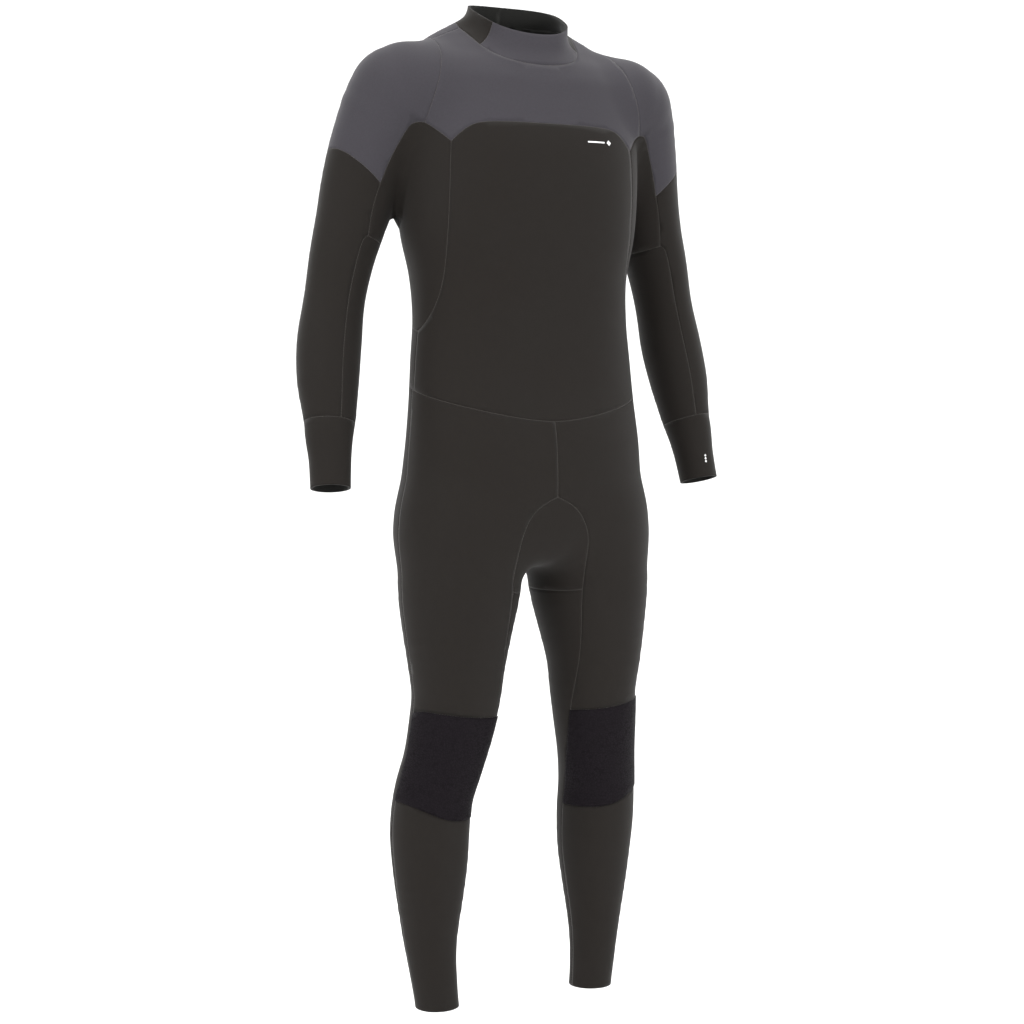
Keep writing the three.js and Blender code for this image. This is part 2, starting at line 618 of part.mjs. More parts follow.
// A panel of the skin, drawn in from its neighbours by half the running gap and thickened inwards.
function panelShell(loops, thickness, proud) {
  const outer = new Map();
  const inner = new Map();
  const at = (v) => skin.vertices[v];
  const follows = new Map();
  for (const loop of loops)
    loop.forEach((a, n) => follows.set(a + "_" + loop[(n + 1) % loop.length], faceNormal(loop, at)));
  const pull = new Map();
  for (const [key, normal] of follows) {
    const [a, b] = key.split("_").map(Number);
    if (follows.has(b + "_" + a)) continue;
    const inwards = normal.clone().cross(at(b).clone().sub(at(a))).normalize();
    for (const v of [a, b]) pull.set(v, [...(pull.get(v) ?? []), inwards]);
  }
  for (const v of new Set(loops.flat())) {
    const outwards = gradient(at(v)).normalize();
    const p = at(v).clone();
    const edges = pull.get(v);
    if (edges) {
      const sum = edges[0].clone().add(edges[1]);
      p.addScaledVector(sum, RUNNING_GAP / 2 / Math.max(sum.lengthSq() / 2, 0.5));
    }
    outer.set(v, p.clone().addScaledVector(outwards, proud));
    inner.set(v, p.clone().addScaledVector(outwards, proud - thickness));
  }
  const triangles = [];
  for (const loop of loops)
    for (const [a, b, c] of triangulate(loop, at)) {
      triangles.push([outer.get(a), outer.get(b), outer.get(c)]);
      triangles.push([inner.get(a), inner.get(c), inner.get(b)]);
    }
  for (const key of follows.keys()) {
    const [a, b] = key.split("_").map(Number);
    if (follows.has(b + "_" + a)) continue;
    // Both panels at a seam split their facing rims along the same diagonal.
    if (a < b) {
      triangles.push([outer.get(b), outer.get(a), inner.get(a)]);
      triangles.push([outer.get(b), inner.get(a), inner.get(b)]);
    } else {
      triangles.push([outer.get(b), outer.get(a), inner.get(b)]);
      triangles.push([outer.get(a), inner.get(a), inner.get(b)]);
    }
  }
  return triangles;
}

for (const [name, loops] of panels) {
  const kind = name.replace(/_(left|right)$/, "");
  const pad = kind === "knee_pad";
  const thickness = pad ? KNEE_SHELL : SHELL;
  addBody(name, SLOTS[kind] ?? "black_neoprene", panelShell(loops, thickness, thickness - SHELL));
}

// ---- Back zip -----------------------------------------------------------------------------------------------------
// Points beside the zip are given as across (towards the left), height along the arc, and depth below the skin.

const TAPE = { inner: 4.6, outer: 22, depth: 3.9, fall: 3.2, thickness: 1.1, steps: 14, ends: 8 };
const TEETH = { gap: 0.7, tip: 2.6, root: 4.3, pitch: 14, depth: 2.9, thickness: 2.2 };
const SLIDER = { length: 16, halfWidth: 6.5, plate: 1.6, web: 0.4, clearance: 0.3 };
const BRIDGE = { length: 11, halfWidth: 1.6, wall: 1.5, tunnel: 3.2 };
const PULLER = { bar: 1.6, halfWidth: 4.6, side: 1.8, reach: 8, length: 46 };
const STOP = { length: 5, halfWidth: 4 };
const angleAt = (z) => Math.asin((z - ZIP.z) / ZIP.radius);

// A point at the given angle on the zip's arc.
function onArc(across, angle, depth) {
  const r = ZIP.radius - depth;
  return new THREE.Vector3(across, ZIP.y + r * Math.cos(angle), ZIP.z + r * Math.sin(angle));
}

const anticlockwise = (outline) =>
  THREE.ShapeUtils.isClockWise(outline.map(([x, y]) => new THREE.Vector2(x, y))) ? [...outline].reverse() : outline;

// A closed body with its faces turned outwards, whichever way round they were made.
function outwardFacing(triangles) {
  const volume = triangles.reduce((sum, [a, b, c]) => sum + a.dot(b.clone().cross(c)), 0);
  return volume > 0 ? triangles : triangles.map(([a, b, c]) => [a, c, b]);
}

// A bar between matching outlines, which are rows of points, closed at both ends by the section's own triangles.
function loft(section, rings) {
  const triangles = [];
  for (let k = 0; k + 1 < rings.length; k++) {
    const [low, high] = [rings[k], rings[k + 1]];
    section.forEach((_, n) => {
      const m = (n + 1) % section.length;
      triangles.push([low[n], low[m], high[m]], [low[n], high[m], high[n]]);
    });
  }
  const shape = section.map(([x, y]) => new THREE.Vector2(x, y));
  const [bottom, top] = [rings[0], rings[rings.length - 1]];
  for (const [a, b, c] of THREE.ShapeUtils.triangulateShape(shape, [])) {
    triangles.push([bottom[c], bottom[b], bottom[a]], [top[a], top[b], top[c]]);
  }
  return outwardFacing(triangles);
}

// A bar along the arc, whose section is an outline of [across, depth] points.
function arcBar(outline, from, to, steps) {
  const section = anticlockwise(outline);
  const ring = (k) => {
    const angle = THREE.MathUtils.lerp(from, to, k / steps);
    return section.map(([across, depth]) => onArc(across, angle, depth));
  };
  return loft(section, Array.from({ length: steps + 1 }, (_, k) => ring(k)));
}
const box = (x0, x1, d0, d1) => [[x0, d0], [x1, d0], [x1, d1], [x0, d1]];
const mirrorX = (outline) => outline.map(([x, d]) => [-x, d]);

const tapeTop = angleAt(ZIP.top + TAPE.ends);
const tapeBottom = angleAt(ZIP.bottom - TAPE.ends);
for (const side of ["left", "right"]) {
  const facing = (outline) => (side === "left" ? outline : mirrorX(outline));
  const upper = [
    [TAPE.inner, TAPE.depth],
    [ZIP.halfWidth, TAPE.depth + 0.5],
    [TAPE.outer, TAPE.depth + TAPE.fall],
  ];
  const lower = upper.map(([x, depth]) => [x, depth + TAPE.thickness]).reverse();
  const tape = [...upper, ...lower];
  addBody("zip_tape_" + side, "zip_tape", arcBar(facing(tape), tapeBottom, tapeTop, TAPE.steps));
}

// One side's teeth, joined by the cord that they are set on: a comb in the plane of the zip, bent to the arc.
const chainBottom = angleAt(ZIP.bottom + 8);
const chainTop = angleAt(ZIP.top);
function comb(sign) {
  const count = Math.floor(((chainTop - chainBottom) * ZIP.radius) / TEETH.pitch);
  const step = (chainTop - chainBottom) / count;
  const rows = [];
  for (let i = 0; i < count; i++) {
    const start = chainBottom + i * step;
    rows.push([start, TEETH.tip], [start, TEETH.gap], [start + step / 2, TEETH.gap], [start + step / 2, TEETH.tip]);
  }
  const top = TEETH.depth;
  const bottom = TEETH.depth + TEETH.thickness;
  const point = (across, angle, depth) => onArc(sign * across, angle, depth);
  const triangles = [];
  const quad = (a, b, c, d) => triangles.push([a, b, c], [a, c, d]);
  const last = [chainTop, TEETH.tip];
  rows.forEach(([angle, across], n) => {
    const [next, nextAcross] = rows[n + 1] ?? last;
    const [a, b] = [point(across, angle, top), point(nextAcross, next, top)];
    const [c, d] = [point(nextAcross, next, bottom), point(across, angle, bottom)];
    quad(a, b, c, d);
    if (next === angle) return;
    const [e, f] = [point(TEETH.root, next, top), point(TEETH.root, angle, top)];
    const [g, h] = [point(TEETH.root, next, bottom), point(TEETH.root, angle, bottom)];
    const [m, o] = [point(TEETH.tip, angle, top), point(TEETH.tip, next, top)];
    const [q, r] = [point(TEETH.tip, angle, bottom), point(TEETH.tip, next, bottom)];
    quad(b.clone(), a.clone(), m, o);
    quad(d.clone(), c.clone(), r, q);
    quad(o, m, f, e);
    quad(q, r, g, h);
    quad(e, f, h, g);
  });
  for (const [angle, flip] of [[chainBottom, false], [chainTop, true]]) {
    const loop = [
      point(TEETH.tip, angle, bottom),
      point(TEETH.root, angle, bottom),
      point(TEETH.root, angle, top),
      point(TEETH.tip, angle, top),
    ];
    quad(...(flip ? loop.reverse() : loop));
  }
  const solid = triangles.filter(([a, b, c]) => b.clone().sub(a).cross(c.clone().sub(a)).length() > 1e-6);
  return outwardFacing(solid);
}
addBody("zip_teeth_left", "zip_plastic", comb(1));
addBody("zip_teeth_right", "zip_plastic", comb(-1));

const stopBox = box(-STOP.halfWidth, STOP.halfWidth, TEETH.depth, TEETH.depth + TEETH.thickness);
const stopGap = RUNNING_GAP / ZIP.radius;
const stopTurn = STOP.length / ZIP.radius;
addBody(
  "zip_bottom_stop",
  "zip_plastic",
  arcBar(stopBox, chainBottom - stopGap - stopTurn, chainBottom - stopGap, 1),
);
for (const [side, sign] of [["left", 1], ["right", -1]]) {
  const outline = box(sign * TEETH.gap, sign * TEETH.root, TEETH.depth, TEETH.depth + TEETH.thickness);
  addBody("zip_top_stop_" + side, "zip_plastic", arcBar(outline, chainTop + stopGap, chainTop + stopGap + stopTurn, 1));
}

// Slider: two plates joined by a web that runs between the teeth, and a bridge that holds the puller.
const sliderTop = chainTop - 2 / ZIP.radius;
const sliderBottom = sliderTop - SLIDER.length / ZIP.radius;
const over = TEETH.depth - SLIDER.clearance;
const under = TEETH.depth + TEETH.thickness + SLIDER.clearance;
const { halfWidth: plate, plate: thick, web } = SLIDER;
const section = [
  [-plate, over - thick],
  [plate, over - thick],
  [plate, over],
  [web, over],
  [web, under],
  [plate, under],
  [plate, under + thick],
  [-plate, under + thick],
  [-plate, under],
  [-web, under],
  [-web, over],
  [-plate, over],
];

// A bar across the zip, whose section is an outline of [along, depth] points about an angle of the arc.
function crossBar(outline, from, to, angle) {
  const section = anticlockwise(outline);
  const ring = (x) => section.map(([along, depth]) => onArc(x, angle + along / ZIP.radius, depth));
  return loft(section, [ring(from), ring(to)]);
}

// Joins overlapping bodies into one.
function joined(...bodies) {
  const solids = bodies.map((triangles) => {
    const mesh = new manifoldKit.Mesh({
      numProp: 3,
      vertProperties: new Float32Array(triangles.flatMap((t) => t.flatMap((p) => p.toArray()))),
      triVerts: new Uint32Array(triangles.flatMap((_, n) => [3 * n, 3 * n + 1, 3 * n + 2])),
    });
    mesh.merge();
    return new manifoldKit.Manifold(mesh);
  });
  const { vertProperties: v, triVerts } = manifoldKit.Manifold.union(solids).getMesh();
  const corner = (n) => new THREE.Vector3(v[3 * n], v[3 * n + 1], v[3 * n + 2]);
  const triangles = [];
  for (let n = 0; n < triVerts.length; n += 3) {
    triangles.push([corner(triVerts[n]), corner(triVerts[n + 1]), corner(triVerts[n + 2])]);
  }
  return triangles;
}

const middle = (sliderTop + sliderBottom) / 2;
const seat = over - thick; // depth of the slider's outer face
const arch = BRIDGE.length / 2;
const bridgeOutline = [
  [-arch, seat + thick / 2],
  [-arch, seat - BRIDGE.tunnel + 1],
  [1 - arch, seat - BRIDGE.tunnel - BRIDGE.wall],
  [arch - 1, seat - BRIDGE.tunnel - BRIDGE.wall],
  [arch, seat - BRIDGE.tunnel + 1],
  [arch, seat + thick / 2],
  [arch - BRIDGE.wall, seat + thick / 2],
  [arch - BRIDGE.wall, seat - BRIDGE.tunnel],
  [BRIDGE.wall - arch, seat - BRIDGE.tunnel],
  [BRIDGE.wall - arch, seat + thick / 2],
];
addBody(
  "zip_slider",
  "zip_plastic",
  joined(
    arcBar(section, sliderBottom, sliderTop, 1),
    crossBar(bridgeOutline, -BRIDGE.halfWidth, BRIDGE.halfWidth, middle),
  ),
);

const barDepth = seat - BRIDGE.tunnel / 2;
const across = (along0, along1, half) => {
  const [near, far] = [barDepth - PULLER.bar / 2, barDepth + PULLER.bar / 2];
  return crossBar(box(along0, along1, near, far), ...half, middle);
};
addBody(
  "zip_puller",
  "zip_plastic",
  joined(
    across(-PULLER.bar / 2, PULLER.bar / 2, [-PULLER.halfWidth, PULLER.halfWidth]),
    across(-PULLER.reach - 1, PULLER.bar / 2, [-PULLER.halfWidth, PULLER.side - PULLER.halfWidth]),
    across(-PULLER.reach - 1, PULLER.bar / 2, [PULLER.halfWidth - PULLER.side, PULLER.halfWidth]),
    across(-PULLER.length, -PULLER.reach, [-PULLER.halfWidth, PULLER.halfWidth]),
  ),
);

// ---- Collar closure -------------------------------------------------------------------------------------------------

const TAB = { hinge: 32, tip: -34, low: 1431, high: 1450, clearance: 0.9, thickness: 2.2, columns: 7 };
const LOOP_PAD = { from: -37, to: -60, thickness: 1, columns: 3 };

// A patch that lies on the outside of the collar's back, between two places across it.
function collarPatch(from, to, columns, thickness) {
  const rows = [TAB.low, TAB.high];
  const outerSide = [];
  const innerSide = [];
  for (let i = 0; i <= columns; i++)
    for (const z of rows) {
      const p = toSurface(new THREE.Vector3(THREE.MathUtils.lerp(from, to, i / columns), 72, z), 5);
      const outwards = gradient(p).normalize();
      innerSide.push(p.clone().addScaledVector(outwards, TAB.clearance));
      outerSide.push(p.clone().addScaledVector(outwards, TAB.clearance + thickness));
    }
  const triangles = [];
  const quad = (a, b, c, d) => triangles.push([a, b, c], [a, c, d]);
  for (let i = 0; i < columns; i++) {
    const [a, b, c, d] = [2 * i, 2 * i + 1, 2 * i + 3, 2 * i + 2];
    quad(outerSide[a], outerSide[b], outerSide[c], outerSide[d]);
    quad(innerSide[d], innerSide[c], innerSide[b], innerSide[a]);
    quad(outerSide[b], innerSide[b], innerSide[c], outerSide[c]);
    quad(outerSide[d], innerSide[d], innerSide[a], outerSide[a]);
  }
  const end = 2 * columns;
  quad(outerSide[0], innerSide[0], innerSide[1], outerSide[1]);
  quad(outerSide[end + 1], innerSide[end + 1], innerSide[end], outerSide[end]);
  return outwardFacing(triangles);
}
addBody("collar_tab", "velcro", collarPatch(TAB.hinge, TAB.tip, TAB.columns, TAB.thickness));
addBody("collar_loop_pad", "velcro", collarPatch(LOOP_PAD.from, LOOP_PAD.to, LOOP_PAD.columns, LOOP_PAD.thickness));

export default suit;
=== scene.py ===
"""A full-length back-zip wetsuit, filled out as it is when worn, on a pale studio floor.

Registers an add-on whose operators build the suit piece by piece over its CAD frame. The
frame's axes: +Z is up the body, -Y is the wearer's front and +X the wearer's left. Its origin is
the middle of the neck opening.
"""

import functools
import json
import math

import bmesh
import bpy
import numpy as np
from bpy.props import FloatProperty, FloatVectorProperty, IntProperty, PointerProperty
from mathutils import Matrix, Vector


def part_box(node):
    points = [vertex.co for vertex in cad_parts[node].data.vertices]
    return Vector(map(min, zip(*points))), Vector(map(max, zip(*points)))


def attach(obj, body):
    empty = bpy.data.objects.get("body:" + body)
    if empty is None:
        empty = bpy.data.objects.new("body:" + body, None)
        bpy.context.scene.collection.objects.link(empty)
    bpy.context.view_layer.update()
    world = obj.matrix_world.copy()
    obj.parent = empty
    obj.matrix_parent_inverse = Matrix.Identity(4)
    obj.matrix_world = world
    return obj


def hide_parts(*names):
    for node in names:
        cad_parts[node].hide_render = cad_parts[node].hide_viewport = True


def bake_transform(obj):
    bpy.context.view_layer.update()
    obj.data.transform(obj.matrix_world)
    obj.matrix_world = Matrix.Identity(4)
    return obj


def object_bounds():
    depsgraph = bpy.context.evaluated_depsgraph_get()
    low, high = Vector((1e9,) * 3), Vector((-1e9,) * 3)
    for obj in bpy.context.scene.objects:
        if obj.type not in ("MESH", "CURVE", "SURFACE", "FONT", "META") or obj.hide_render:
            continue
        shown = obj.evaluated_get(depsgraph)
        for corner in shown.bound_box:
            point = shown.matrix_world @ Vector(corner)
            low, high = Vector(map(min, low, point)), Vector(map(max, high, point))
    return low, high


bl_info = {
    "name": "Full wetsuit",
    "version": (1, 0, 0),
    "blender": (4, 5, 0),
    "location": "3D View > Sidebar > Wetsuit",
    "description": "Builds a detailed neoprene wetsuit over its CAD frame",
    "category": "Add Mesh",
}

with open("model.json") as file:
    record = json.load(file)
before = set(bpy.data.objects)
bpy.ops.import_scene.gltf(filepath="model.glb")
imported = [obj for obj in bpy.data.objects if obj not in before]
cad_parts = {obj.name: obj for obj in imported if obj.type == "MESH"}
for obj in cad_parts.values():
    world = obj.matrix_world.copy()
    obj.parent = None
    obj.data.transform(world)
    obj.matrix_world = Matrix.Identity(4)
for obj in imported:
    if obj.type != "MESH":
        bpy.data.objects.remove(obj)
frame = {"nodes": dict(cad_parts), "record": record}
CAD_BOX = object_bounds()
NODES = frame["nodes"]
BODIES = frame["record"]["behaviour"]["bodies"]
BODY_OF = {node: body for body, nodes in BODIES.items() for node in nodes}
SLOT_OF = {part["node"]: part["material_slot"] for part in frame["record"]["subparts"]}

MM = 0.001
NECK_HEIGHT = 1396  # of the origin, above the ankle bones, in millimetres

# ---- Body surface ------------------------------------------------------------------------------
# In millimetres, with heights above the ankle bones, from the same stations as the CAD model.

ZIP_ARC = {"radius": 600, "y": -484, "z": 1195, "top": 1414, "bottom": 985}


def back_profile(z):
    return ZIP_ARC["y"] + math.sqrt(ZIP_ARC["radius"] ** 2 - (z - ZIP_ARC["z"]) ** 2)


# Height, half width, front and back of the trunk.
TRUNK = [
    (560, 186, -118, 70),
    (600, 188, -122, 80),
    (650, 190, -122, 90),
    (700, 189, -126, 96),
    (750, 185, -128, 94),
    (810, 180, -125, 84),
    (870, 175, -112, 76),
    (930, 171, -104, 75),
    (990, 166, -103, back_profile(990)),
    (1050, 167, -110, back_profile(1050)),
    (1110, 179, -118, back_profile(1110)),
    (1170, 184, -121, back_profile(1170)),
    (1230, 186, -116, back_profile(1230)),
    (1290, 184, -100, back_profile(1290)),
    (1330, 180, -88, back_profile(1330)),
    (1355, 172, -70, back_profile(1355)),
    (1378, 154, -42, back_profile(1378)),
    (1398, 124, -20, back_profile(1398)),
    (1412, 98, -8, back_profile(1412)),
    (1432, 63, -5, 65),
    (1460, 56, -6, 57),
    (1500, 54, -6, 54),
]

# Height, half width, front and back of the neck, which stands in front of the shoulders' ridge.
NECK = [
    (1300, 60, -55, 40),
    (1345, 71, -69, 50),
    (1375, 71, -69, 50),
    (1400, 70, -68, 50),
    (1432, 70, -69, 48),
    (1460, 67, -68, 46),
    (1500, 65, -67, 46),
]
# Centre line and radius of the left leg and arm: x, y, height, radius.
LEG = [
    (98, -22, 690, 88),
    (105, -24, 610, 89),
    (109, -26, 560, 81.5),
    (112, -29, 500, 71),
    (112, -27, 450, 64.5),
    (118, -21, 400, 61),
    (126, -11, 350, 57.5),
    (135, 3, 300, 57),
    (137, 10, 250, 58),
    (136, 12, 200, 55),
    (136, 12, 150, 48.5),
    (136, 12, 100, 41),
    (134, 10, 60, 36),
    (131, 8, 28, 33.5),
    (128, 7, 0, 32),
    (125, 6, -30, 32),
    (122, 5, -62, 32),
]
ARM = [
    (150, 4, 1306, 74),
    (188, 10, 1301, 68),
    (214, 24, 1246, 61),
    (231, 36, 1185, 56),
    (245, 39, 1128, 51),
    (260, 38, 1075, 46.5),
    (272, 37, 1015, 43.5),
    (282, 32, 955, 46),
    (289, 20, 900, 44),
    (292, 7, 850, 37.5),
    (296, -1, 820, 33.5),
    (298, -9, 790, 30),
    (301, -18, 753, 28.5),
    (304, -27, 715, 28),
    (306, -34, 680, 28),
]
CROTCH = 634
SOFTENING = {"arm": 17, "leg": 30, "crotch": 22, "pelvis": 60, "neck": 24}
TRUNK_ROUNDNESS = 2.25
LIMB_SAMPLES = 48
NECK_FROM = 1300  # the neck joins in above this height
LEGS_TO = 800  # the legs join in below this height
LEGS_ONLY_TO = 520  # and below this one there is no trunk
ARMS_FROM = 690  # the arms join in above this height
ARMS_BESIDE = 90  # and further out than this
SLOPE_STEP = 0.5


def catmull_rom(rows, place):
    """Values between the rows of a table, at places counted in rows."""
    rows = np.asarray(rows, float)
    last = len(rows) - 1
    i = np.clip(np.floor(place).astype(int), 0, last - 1)
    t = np.clip(place - i, 0, 1)[:, None]
    p, q, r, s = (rows[np.clip(i + k, 0, last)] for k in (-1, 0, 1, 2))
    return q + 0.5 * t * (r - p + t * (2 * p - 5 * q + 4 * r - s + t * (3 * (q - r) + s - p)))


def sampled_limb(table):
    """Points along a limb's centre line, each with the radius that belongs to its height."""
    line = catmull_rom(table, np.linspace(0, len(table) - 1, LIMB_SAMPLES))
    heights = np.array(sorted((z, r) for _, _, z, r in table), float)
    place = np.interp(line[:, 2], heights[:, 0], np.arange(len(heights)))
    line[:, 3] = catmull_rom(heights, place)[:, 1]
    return line


LEG_LINE = sampled_limb(LEG)
ARM_LINE = sampled_limb(ARM)


def soft_min(a, b, k):
    """The lower of two fields, rounded where they meet."""
    h = np.maximum(k - np.abs(a - b), 0) / k
    return np.minimum(a, b) - h * h * k / 4


def section_field(table, p):
    """Distance outside an upright tube whose flattened sections are a table's rows."""
    table = np.array(table, float)
    place = np.interp(p[:, 2], table[:, 0], np.arange(len(table)))
    _, half, front, back = catmull_rom(table, place).T
    y = p[:, 1] - (front + back) / 2
    depth = (back - front) / 2
    n = TRUNK_ROUNDNESS
    reach = (np.abs(p[:, 0] / half) ** n + np.abs(y / depth) ** n) ** (1 / n)
    return (reach - 1) * np.minimum(half, depth)


def trunk_field(p):
    side = section_field(TRUNK, p)
    hips = -soft_min(-side, p[:, 2] - CROTCH, SOFTENING["pelvis"])
    shoulders = soft_min(side, section_field(NECK, p), SOFTENING["neck"])
    return np.where(p[:, 2] > NECK_FROM, shoulders, hips)


def limb_field(line, p):
    """Distance outside a limb's round, tapering skin."""
    best = np.full(len(p), np.inf)
    for a, b in zip(line, line[1:]):
        step = b[:3] - a[:3]
        t = np.clip((p - a[:3]) @ step / (step @ step), 0, 1)
        away = p - a[:3] - t[:, None] * step
        best = np.minimum(best, np.sqrt((away**2).sum(1)) - a[3] - t * (b[3] - a[3]))
    return best


def body_field(p):
    """Distance outside the body surface, roughly, for points in millimetres."""
    here = np.array(p, float)
    here[:, 0] = np.abs(here[:, 0])
    field = trunk_field(here)
    low = p[:, 2] < LEGS_TO
    across = here[low] * [-1, 1, 1]
    legs = [limb_field(LEG_LINE, side) for side in (here[low], across)]
    legs = soft_min(*legs, SOFTENING["crotch"])
    joined = soft_min(field[low], legs, SOFTENING["leg"])
    field[low] = np.where(p[low, 2] < LEGS_ONLY_TO, legs, joined)
    arm = (p[:, 2] > ARMS_FROM) & (here[:, 0] > ARMS_BESIDE)
    field[arm] = soft_min(field[arm], limb_field(ARM_LINE, here[arm]), SOFTENING["arm"])
    return field


def body_slope(p):
    """The field's value and slope, from four points round each place."""
    corners = np.array([(1, 1, 1), (1, -1, -1), (-1, 1, -1), (-1, -1, 1)], float)
    values = [body_field(p + SLOPE_STEP * c) for c in corners]
    slope = sum(v[:, None] * c for v, c in zip(values, corners)) / (4 * SLOPE_STEP)
    return sum(values) / 4, slope


def onto_body(p, rounds=1):
    """Moves places straight in or out until they lie on the body surface."""
    for _ in range(rounds):
        value, slope = body_slope(p)
        p = p - slope * (value / np.maximum((slope**2).sum(1), 1e-6))[:, None]
    return p


def to_metres(p):
    return (np.asarray(p, float) - [0, 0, NECK_HEIGHT]) * MM


def to_millimetres(p):
    return np.asarray(p, float) / MM + [0, 0, NECK_HEIGHT]


# ---- Settings ----------------------------------------------------------------------------------


def metres(name, description, value):
    return FloatProperty(name=name, description=description, default=value, unit="LENGTH")


def angle(name, description, value):
    return FloatProperty(name=name, description=description, default=value, subtype="ANGLE")


def colour(name, description, value):
    return FloatVectorProperty(
        name=name, description=description, default=value, subtype="COLOR", size=3, min=0, max=1
    )


class WetsuitCloth(bpy.types.PropertyGroup):
    thickness: metres("Thickness", "Thickness of the neoprene", 0.003)
    pad_rise: metres("Knee pad rise", "How far a knee pad stands proud", 0.0014)
    seam_width: metres("Seam width", "Width of the rounded edge of a panel", 0.0024)
    seam_depth: metres("Seam depth", "How far a panel's edge dips at a seam", 0.0008)
    seam_gap: metres("Seam gap", "Half the gap between two panels", 0.0001)
    cuts: IntProperty(name="Cuts", description="Cuts in each edge of the frame's mesh", default=3)
    evening: IntProperty(name="Evening", description="Rounds of smoothing", default=26)


class WetsuitStitch(bpy.types.PropertyGroup):
    length: metres("Length", "Length of one stitch", 0.0042)
    pitch: metres("Pitch", "Distance between stitches", 0.0038)
    radius: metres("Radius", "Radius of the thread", 0.0005)
    slant: angle("Slant", "Turn of a stitch across the seam", 0.35)


class WetsuitColours(bpy.types.PropertyGroup):
    grey: colour("Grey", "Neoprene of the yoke and shoulders", (0.0335, 0.0308, 0.0366))
    black: colour("Black", "Neoprene of the body and legs", (0.0078, 0.0059, 0.0045))
    pad: colour("Knee pad", "Rubber print of the knee pads", (0.0062, 0.0047, 0.0062))
    lining: colour("Lining", "Knitted lining inside", (0.012, 0.012, 0.011))
    foam: colour("Foam", "Cut edge of the foam", (0.018, 0.017, 0.016))
    thread: colour("Thread", "Stitching", (0.075, 0.068, 0.062))
    tape: colour("Tape", "Woven tape of the zip", (0.012, 0.012, 0.013))
    plastic: colour("Plastic", "Teeth, slider and puller", (0.011, 0.011, 0.012))
    print: colour("Print", "Small marks on chest and cuff", (0.75, 0.75, 0.75))


class WetsuitZip(bpy.types.PropertyGroup):
    pitch: metres("Pitch", "Distance from tooth to tooth", 0.0037)
    reach: metres("Reach", "How far a tooth crosses over", 0.0014)


class WetsuitStage(bpy.types.PropertyGroup):
    floor: metres("Floor", "How far the floor is below the ankle hems", 0.075)
    distance: metres("Distance", "Camera distance from the suit's axis", 3.009)
    turn: angle("Turn", "Camera's turn to the wearer's right", math.radians(27))
    eye: metres("Eye", "Camera height above the ankles", 0.89)
    pitch: angle("Pitch", "How far the camera looks down", math.radians(1.915))
    lens: FloatProperty(name="Lens", description="Focal length in millimetres", default=72.12)
    shift: FloatVectorProperty(
        name="Shift",
        description="Shift of the lens, in frame widths",
        default=(-0.0049, -0.055),
        size=2,
    )


def settings():
    return bpy.context.scene


# ---- Materials ---------------------------------------------------------------------------------


def shared_group(name, inputs, outputs):
    """A new node group with its sockets, and its input and output nodes."""
    group = bpy.data.node_groups.new(name, "ShaderNodeTree")
    for socket, kind, value in inputs:
        item = group.interface.new_socket(name=socket, in_out="INPUT", socket_type=kind)
        item.default_value = value
    for socket, kind in outputs:
        group.interface.new_socket(name=socket, in_out="OUTPUT", socket_type=kind)
    return group, group.nodes.new("NodeGroupInput"), group.nodes.new("NodeGroupOutput")


def add_node(tree, kind, **sockets):
    """A node with its inputs set to constants or linked to sockets. i0 and i1 are its first two."""
    node = tree.nodes.new(kind)
    for name, value in sockets.items():
        socket = node.inputs[{"i0": 0, "i1": 1}.get(name, name)]
        if isinstance(value, bpy.types.NodeSocket):
            tree.links.new(value, socket)
        else:
            socket.default_value = value
    return node


def math_node(tree, operation, a, b=0.0, clamp=False):
    node = add_node(tree, "ShaderNodeMath", i0=a, i1=b)
    node.operation = operation
    node.use_clamp = clamp
    return node.outputs[0]


def scaled(tree, vector, factor):
    """A colour, made lighter or darker by a factor."""
    node = tree.nodes.new("ShaderNodeVectorMath")
    node.operation = "SCALE"
    if isinstance(vector, bpy.types.NodeSocket):
        tree.links.new(vector, node.inputs[0])
    else:
        node.inputs[0].default_value = tuple(vector)
    tree.links.new(factor, node.inputs["Scale"])
    return node.outputs["Vector"]


